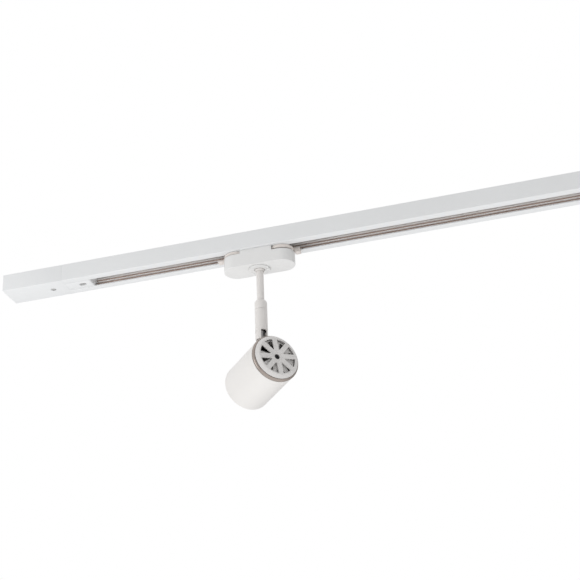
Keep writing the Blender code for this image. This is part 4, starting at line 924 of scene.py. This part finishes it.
def make_lug(look, screw_look):
    """The pressed eye on the hinge pin, its arm through the shell and its foot, with two screws."""
    foot_top = FOOT_TOP - HEAD_DROP
    foot_low = foot_top - FOOT_SIZE[2]
    edge = 0.0002
    foot_corner = 0.002
    swing = asin(ARM_HALF_WIDTH / EYE_RADIUS)
    outline = arc(EYE_RADIUS, -pi / 2 + swing, 3 * pi / 2 - swing, 40)
    outline += [(-ARM_HALF_WIDTH, foot_low + edge), (ARM_HALF_WIDTH, foot_low + edge)]
    body = plate(outline, *LUG_RANGE, edge, "Y")
    foot_x = FOOT_SIZE[0] / 2
    foot_y = FOOT_SIZE[1] / 2
    foot = rounded(rectangle((-foot_x, foot_x), (-foot_y, foot_y)), [foot_corner] * 4, 6)
    body = join(body, plate(foot, foot_low, foot_top, edge))
    holes = [rod(PIN_RADIUS + GAP, -foot_y, foot_y, axis="Y")]
    for x in LUG_SCREWS:
        holes.append(rod(LUG_SCREW_HOLE, foot_low - OVERCUT, foot_top + OVERCUT, 24, (x, 0, 0)))
    piece("hinge_eye", cut(body, *holes), look, "head", ["hinge_lug"], HEAD)
    seat = SHELL_RADIUS - HEAD_DROP - LUG_SCREW_SINK
    for number, x in enumerate(LUG_SCREWS, start=1):
        place = HEAD @ Matrix.Translation((x, 0, seat))
        screw = pan_head(LUG_SCREW_HEAD, height=0.0008, shank=LUG_SCREW_HOLE - GAP, end=-0.0037)
        piece(f"lug_fixing_{number}", screw, screw_look, "head", [f"lug_screw_{number}"], place)


def make_shell(look):
    """The head's tube, with a slot for the hinge's arm and counterbored holes for its screws."""
    inner = SHELL_RADIUS - SHELL_WALL
    profile = rectangle((inner, SHELL_RADIUS), (RIM_FRONT + GAP, SHELL_LENGTH))
    radii = [0.0002, 0.0003, 0.0008, 0.0003]
    body = lathe(rounded(profile, radii, 5), ROUND)
    body.transform(ALONG_HEAD)
    crown = SHELL_RADIUS - HEAD_DROP
    low = crown - 2 * SHELL_WALL
    high = crown + OVERCUT
    arm = ARM_HALF_WIDTH + GAP
    slot_corner = 0.0005
    across = (LUG_RANGE[0] - GAP, LUG_RANGE[1] + GAP)
    slot = plate(rounded(rectangle((-arm, arm), across), [slot_corner] * 4, 3), low, high)
    bore = LUG_SCREW_HEAD + GAP
    hole = LUG_SCREW_HOLE
    seat = crown - LUG_SCREW_SINK - 0.0002
    well = [(0, low), (hole, low), (hole, seat), (bore, seat), (bore, high), (0, high)]
    wells = [lathe(well, FEW, (x, 0, 0)) for x in LUG_SCREWS]
    piece("lamp_shell", cut(body, slot, *wells), look, "head", ["head_shell"], HEAD)


def make_trim_ring(look):
    """The turned ring between shell and cap: a bead that stands a little proud of the shell, and a skirt."""
    skirt = SHELL_RADIUS - SHELL_WALL - GAP
    skirt_end = 0.0050
    bead = [
        (skirt, RIM_FRONT), (RIM_RADIUS - 0.0006, RIM_FRONT), (RIM_RADIUS - 0.00015, RIM_FRONT - 0.0005),
        (RIM_RADIUS, RIM_FRONT - 0.0013), (RIM_RADIUS - 0.0001, RIM_BACK + 0.0019),
        (RIM_RADIUS - 0.0005, RIM_BACK + 0.0012), (RIM_RADIUS - 0.0014, RIM_BACK),
    ]
    profile = [(RIM_BORE, RIM_BACK), (RIM_BORE, skirt_end), (skirt, skirt_end)] + bead
    piece("trim_ring", lathe(profile, ROUND), look, "head", ["reveal_ring"], HEAD_AXIS, crease=50)


def vent_wedges(phase, outer, low, high):
    """The wedges between parallel-sided spokes, with rounded outer corners."""
    outer_half = pi / VENT_COUNT - asin(SPOKE_WIDTH / 2 / outer)
    inner_half = pi / VENT_COUNT - asin(SPOKE_WIDTH / 2 / VENT_INNER)
    corner = asin(0.0004 / outer)
    shoulder = outer * 0.98
    wedges = []
    for number in range(VENT_COUNT):
        middle = phase + (number + 0.5) * 2 * pi / VENT_COUNT
        start = middle - outer_half
        end = middle + outer_half
        outline = [(shoulder * cos(start), shoulder * sin(start))]
        outline += arc(outer, start + corner, end - corner, 12)
        outline.append((shoulder * cos(end), shoulder * sin(end)))
        outline += arc(VENT_INNER, middle + inner_half, middle - inner_half, 2)
        wedges.append(plate([(-z, -y) for y, z in reversed(outline)], low, high))
    return wedges


def make_vent_cap(look):
    """The rear cap: eight spokes in a bevelled rim, a skirt inside the ring and a hub with a dished well."""
    base = RIM_BACK - GAP
    skirt = RIM_BORE - GAP
    skirt_inner = skirt - 0.0014
    skirt_end = 0.0010
    rim_edge = 0.0004
    outer = CAP_BASE_RADIUS
    profile = [
        (0, CAP_FACE), (CAP_FACE_RADIUS, CAP_FACE), (outer, base - rim_edge), (outer, base),
        (skirt, base), (skirt, skirt_end), (skirt_inner, skirt_end), (skirt_inner, base - 0.0001),
        (BAFFLE_RADIUS + GAP, CAP_PLATE), (HUB_RADIUS, CAP_PLATE), (HUB_RADIUS, HUB_END), (0, HUB_END),
    ]
    radii = [0, 0.0006, 0.0002, 0.0001, 0.0001, 0.0002, 0.0002, 0.0001, 0.0002, 0.0003, 0.0003, 0]
    body = lathe(rounded(profile, radii, 4), ROUND)
    vent_end = CAP_PLATE + 0.0008
    body = cut(body, *vent_wedges(VENT_PHASE, VENT_OUTER, CAP_FACE - OVERCUT, vent_end))
    bore = CAP_SCREW_HEAD + GAP
    hole = CAP_SCREW_SHANK + GAP
    dish = CAP_FACE + DISH_DEPTH
    seat = dish + 0.0016
    slope = (DISH_RADIUS - bore) / DISH_DEPTH
    above = CAP_FACE - OVERCUT
    past = HUB_END + OVERCUT
    well = [
        (0, above), (DISH_RADIUS + slope * OVERCUT, above), (bore + 0.0004, dish - 0.0002),
        (bore, dish), (bore, seat), (hole, seat), (hole, past), (0, past),
    ]
    cap = cut(body, lathe(well, TURN))
    piece("vent_cap", cap, look, "head", ["rear_cap"], HEAD_AXIS, crease=30)


def make_vent_screen(look):
    """The screen behind the spokes. Its own openings are turned, so that only slivers line up."""
    low, high = BAFFLE_RANGE
    edge = 0.0002
    body = lathe(soften(rectangle((HUB_RADIUS + GAP, BAFFLE_RADIUS), (low, high)), edge, 2), ROUND)
    body = cut(body, *vent_wedges(VENT_PHASE + BAFFLE_TURN, BAFFLE_OPEN, low - OVERCUT, high + OVERCUT))
    piece("vent_screen", body, look, "head", ["vent_baffle"], HEAD_AXIS)


def make_cap_bolt(look):
    """A socket-head screw with a domed top and a hexagon key recess."""
    top = CAP_FACE + DISH_DEPTH
    seat = top + 0.0014
    radius = CAP_SCREW_HEAD
    shank = CAP_SCREW_SHANK
    profile = [
        (0, top), (radius * 0.55, top + 0.00005), (radius * 0.86, top + 0.0003), (radius, top + 0.0007),
        (radius, seat), (shank, seat), (shank, CAP_SCREW_END - 0.0004), (shank * 0.7, CAP_SCREW_END),
        (0, CAP_SCREW_END),
    ]
    key_radius = 0.00135
    key_depth = 0.0010
    key = arc(key_radius, 0, 5 * pi / 3, 5)
    body = cut(lathe(profile, TURN), plate(key, top - OVERCUT, top + key_depth))
    piece("cap_bolt", body, look, "head", ["cap_screw"], HEAD_AXIS)


def make_lamp(glaze_painted_shade, mirror, ceramic):
    """The reflector lamp: a glazed base and bowl with two sockets, a faceted mirror and a small burner."""
    base = LAMP_BASE
    stem = [(0, base), (0.0098, base), (0.0104, base + 0.0006), (0.0104, 0.0255), (0.0108, 0.0262)]
    flare = [(0.0128, 0.0300), (0.0158, 0.0360), (0.0192, 0.0415), (0.0215, 0.0472), (0.0232, 0.0530),
             (0.0246, 0.0590)]
    edge = LAMP_RIM - 0.0003
    rim = [(0.0247, edge), (0.0244, LAMP_RIM), (0.0235, LAMP_RIM), (0.0232, edge)]
    blank_top = 0.0566
    body = lathe(stem + flare + rim + LAMP_BOWL[:1] + [(0, blank_top)], TURN)
    past = LAMP_RIM + OVERCUT
    dish = [(0, past), (0.0231, past)] + LAMP_BOWL
    body = cut(body, lathe(dish, TURN))
    socket_radius = 0.0017
    socket_end = 0.0230
    sockets = [
        rod(socket_radius, base - OVERCUT, socket_end, 16, (0, side * PIN_PITCH / 2, 0)) for side in (-1, 1)
    ]
    body = cut(body, *sockets)
    piece("lamp_envelope", body, glaze_painted_shade, "head", ["lamp_body"], HEAD_AXIS)
    make_reflector(mirror)
    burner = [(0, 0.0469), (0.0030, 0.0469), (0.0030, 0.0490), (0.0022, 0.0494), (0.0022, 0.0545),
              (0.0015, 0.0560), (0.0006, 0.0566), (0, 0.0567)]
    piece("lamp_burner", lathe(burner, FEW), ceramic, "head", (), HEAD_AXIS)


def make_reflector(look):
    """The lamp's mirror: rings of flat facets just above the bowl, each ring shifted by half a facet."""
    facets = bmesh.new()
    count = 24
    lift = 0.00012
    inside = 0.985
    rows = []
    for level, (radius, height) in enumerate(LAMP_BOWL[:-1]):
        shift = pi / count * (level % 2)
        turns = [shift + 2 * pi * step / count for step in range(count)]
        reach = radius * inside
        points = [(reach * cos(turn), reach * sin(turn), height + lift) for turn in turns]
        rows.append([facets.verts.new(point) for point in points])
    for level, (low, high) in enumerate(zip(rows, rows[1:])):
        for step in range(count):
            after = (step + 1) % count
            if level % 2:
                facets.faces.new((low[step], high[after], high[step]))
                facets.faces.new((low[step], low[after], high[after]))
            else:
                facets.faces.new((low[step], low[after], high[step]))
                facets.faces.new((low[after], high[after], high[step]))
    facets.faces.new(rows[-1])
    mirror = piece("faceted_reflector", facets, look, "head", (), HEAD_AXIS, crease=2)
    thick = mirror.modifiers.new("thickness", "SOLIDIFY")
    thick.thickness = 0.0001
    thick.offset = 1.0


def make_lens(look):
    """The front glass: a shallow dome with a ground edge."""
    dome = [(0, 0.0596), (0.0216, 0.0596), (0.0222, 0.0600), (0.0222, 0.0606), (0.0217, 0.0609)]
    dome += [(0.0180, 0.0612), (0.0130, 0.0614), (0.0070, 0.06155), (0, 0.0616)]
    piece("front_glass", lathe(dome, TURN), look, "head", ["lamp_lens"], HEAD_AXIS)


def make_front_trim(look):
    """The ring that holds the lamp in, with a rolled inner edge and three grip notches."""
    outer = SHELL_RADIUS - SHELL_WALL - GAP
    low, high = FRONT_RING_RANGE
    radii = [0.0003, 0.0002, 0.0003, 0.0007]
    body = lathe(rounded(rectangle((FRONT_RING_BORE, outer), (low, high)), radii, 4), ROUND)
    notch_radius = 0.0011
    notches = []
    for number in range(3):
        turn = number * 2 * pi / 3
        at = (FRONT_RING_BORE * cos(turn), FRONT_RING_BORE * sin(turn), 0)
        notches.append(rod(notch_radius, low - OVERCUT, high + OVERCUT, 24, at))
    piece("front_trim", cut(body, *notches), look, "head", ["front_ring"], HEAD_AXIS)


# ---------------- carried-over CAD nodes

def dress(looks):
    """Gives each CAD node that stays in view its finished material."""
    kept = {
        "insulation": ["insulator_front", "insulator_rear"],
        "copper": [f"{part}_contact_{pole}" for part in ("feed", "rotor") for pole in CONTACT_HEIGHTS],
        "zinc": ["terminal_screw_1", "terminal_screw_2", "terminal_screw_3", "adapter_screw_left",
                 "adapter_screw_right", "stem_nut", "swivel_clip", "lamp_bracket", "lamp_pin_1",
                 "lamp_pin_2"],
        "housing": ["end_feed_base", "adapter_frame"],
        "nylon": ["contact_rotor", "hinge_washer_left", "hinge_washer_right"],
        "ceramic": ["terminal_block", "lamp_holder"],
    }
    for pole in CONTACT_HEIGHTS:
        kept[f"lead_{pole}"] = [f"feed_lead_{pole}"]
    for look, names in kept.items():
        for name in names:
            for holder in frame["nodes"][name].material_slots:
                holder.material = looks[look]


# ---------------- studio

def make_camera():
    data = bpy.data.cameras.new("camera")
    data.lens = LENS
    data.sensor_width = SENSOR
    camera = add_object("camera", data)
    right = CAMERA_FORWARD.cross(CAMERA_UP)
    turn = Matrix((right, CAMERA_UP, -CAMERA_FORWARD)).transposed().to_4x4()
    camera.matrix_world = Matrix.Translation(CAMERA_PLACE) @ turn
    bpy.context.scene.camera = camera


def soft_light(name, place, aim, side, power):
    """A square area light that the camera doesn't see."""
    data = bpy.data.lights.new(name, "AREA")
    data.shape = "RECTANGLE"
    data.size = side
    data.size_y = side
    data.energy = power
    lamp = add_object(name, data)
    lamp.location = place
    lamp.rotation_euler = (Vector(aim) - Vector(place)).to_track_quat("-Z", "Y").to_euler()
    lamp.visible_camera = False


def make_world():
    """The camera sees a white backdrop. The object is lit by a soft sky, brighter on the left and above."""
    world = bpy.data.worlds.new("studio")
    bpy.context.scene.world = world
    world.use_nodes = True
    tree = world.node_tree
    background = tree.nodes["Background"]
    background.inputs["Color"].default_value = (1, 1, 1, 1)
    backdrop = node(tree, "ShaderNodeBackground", {"Color": (1, 1, 1, 1), "Strength": 1.0})
    direction = node(tree, "ShaderNodeTexCoord").outputs["Generated"]
    tilt = node(tree, "ShaderNodeVectorMath", {0: direction, 1: SKY_SLOPE}, operation="DOT_PRODUCT")
    level = node(tree, "ShaderNodeMath", {0: tilt.outputs["Value"], 1: SKY_LEVEL}, operation="ADD")
    tree.links.new(level.outputs["Value"], background.inputs["Strength"])
    ray = node(tree, "ShaderNodeLightPath").outputs["Is Camera Ray"]
    mixed = node(tree, "ShaderNodeMixShader", {0: ray, 1: background.outputs[0], 2: backdrop.outputs[0]})
    tree.links.new(mixed.outputs[0], tree.nodes["World Output"].inputs["Surface"])


def make_floor():
    mesh = bpy.data.meshes.new("floor")
    corners = rectangle((-FLOOR_REACH, FLOOR_REACH), (-FLOOR_REACH, FLOOR_REACH))
    mesh.from_pydata([(x, y, FLOOR_LEVEL) for x, y in corners], [], [(0, 1, 2, 3)])
    mesh.materials.append(surface("floor_paper", (0.86, 0.86, 0.86), 0.8, 0.01, 3, 200, 0.0001))
    add_object("floor", mesh)


def make_studio():
    bpy.context.scene.view_settings.view_transform = "Standard"
    make_camera()
    make_world()
    make_floor()
    soft_light("from_below", (-0.3, -0.3, -1.55), (-0.3, -0.3, 0), 3.6, 15.5)
    soft_light("from_left", (-1.05, -0.70, -0.30), (-0.55, 0, 0), 0.5, 1.8)


# ---------------- assembly

def main():
    looks = make_materials()
    make_track(looks["powder"])
    make_rails(looks["copper"])
    make_end_cap(looks["feed"])
    make_feed_housing(looks["feed"])
    make_feed_screw(looks["zinc"])
    make_feed_tongue(looks["feed"])
    make_feed_button(looks["button"])
    make_adapter_housing(looks["housing"])
    # the levers take the beige copy of the housing white, which paints the shade under the track
    for name in SIDES:
        make_lever(name, looks["lever"])
    make_selector(looks["housing"])
    make_stem(looks["stem"])
    make_sleeve(looks["stem"])
    make_hinge_pin(looks["stem"])
    make_lug(looks["lug"], looks["zinc"])
    make_shell(looks["head"])
    make_trim_ring(looks["turned_nickel"])
    # the cap takes the darker copy of the head lacquer, which paints the shade on its rear face
    make_vent_cap(looks["vent"])
    make_vent_screen(looks["baffle"])
    make_cap_bolt(looks["black_oxide"])
    # the lamp's near-black glaze paints the deep shade inside the head
    make_lamp(looks["lamp_painted_shade_glaze"], looks["reflector"], looks["ceramic"])
    make_lens(looks["glass"])
    make_front_trim(looks["turned_steel"])
    dress(looks)
    make_studio()


main()
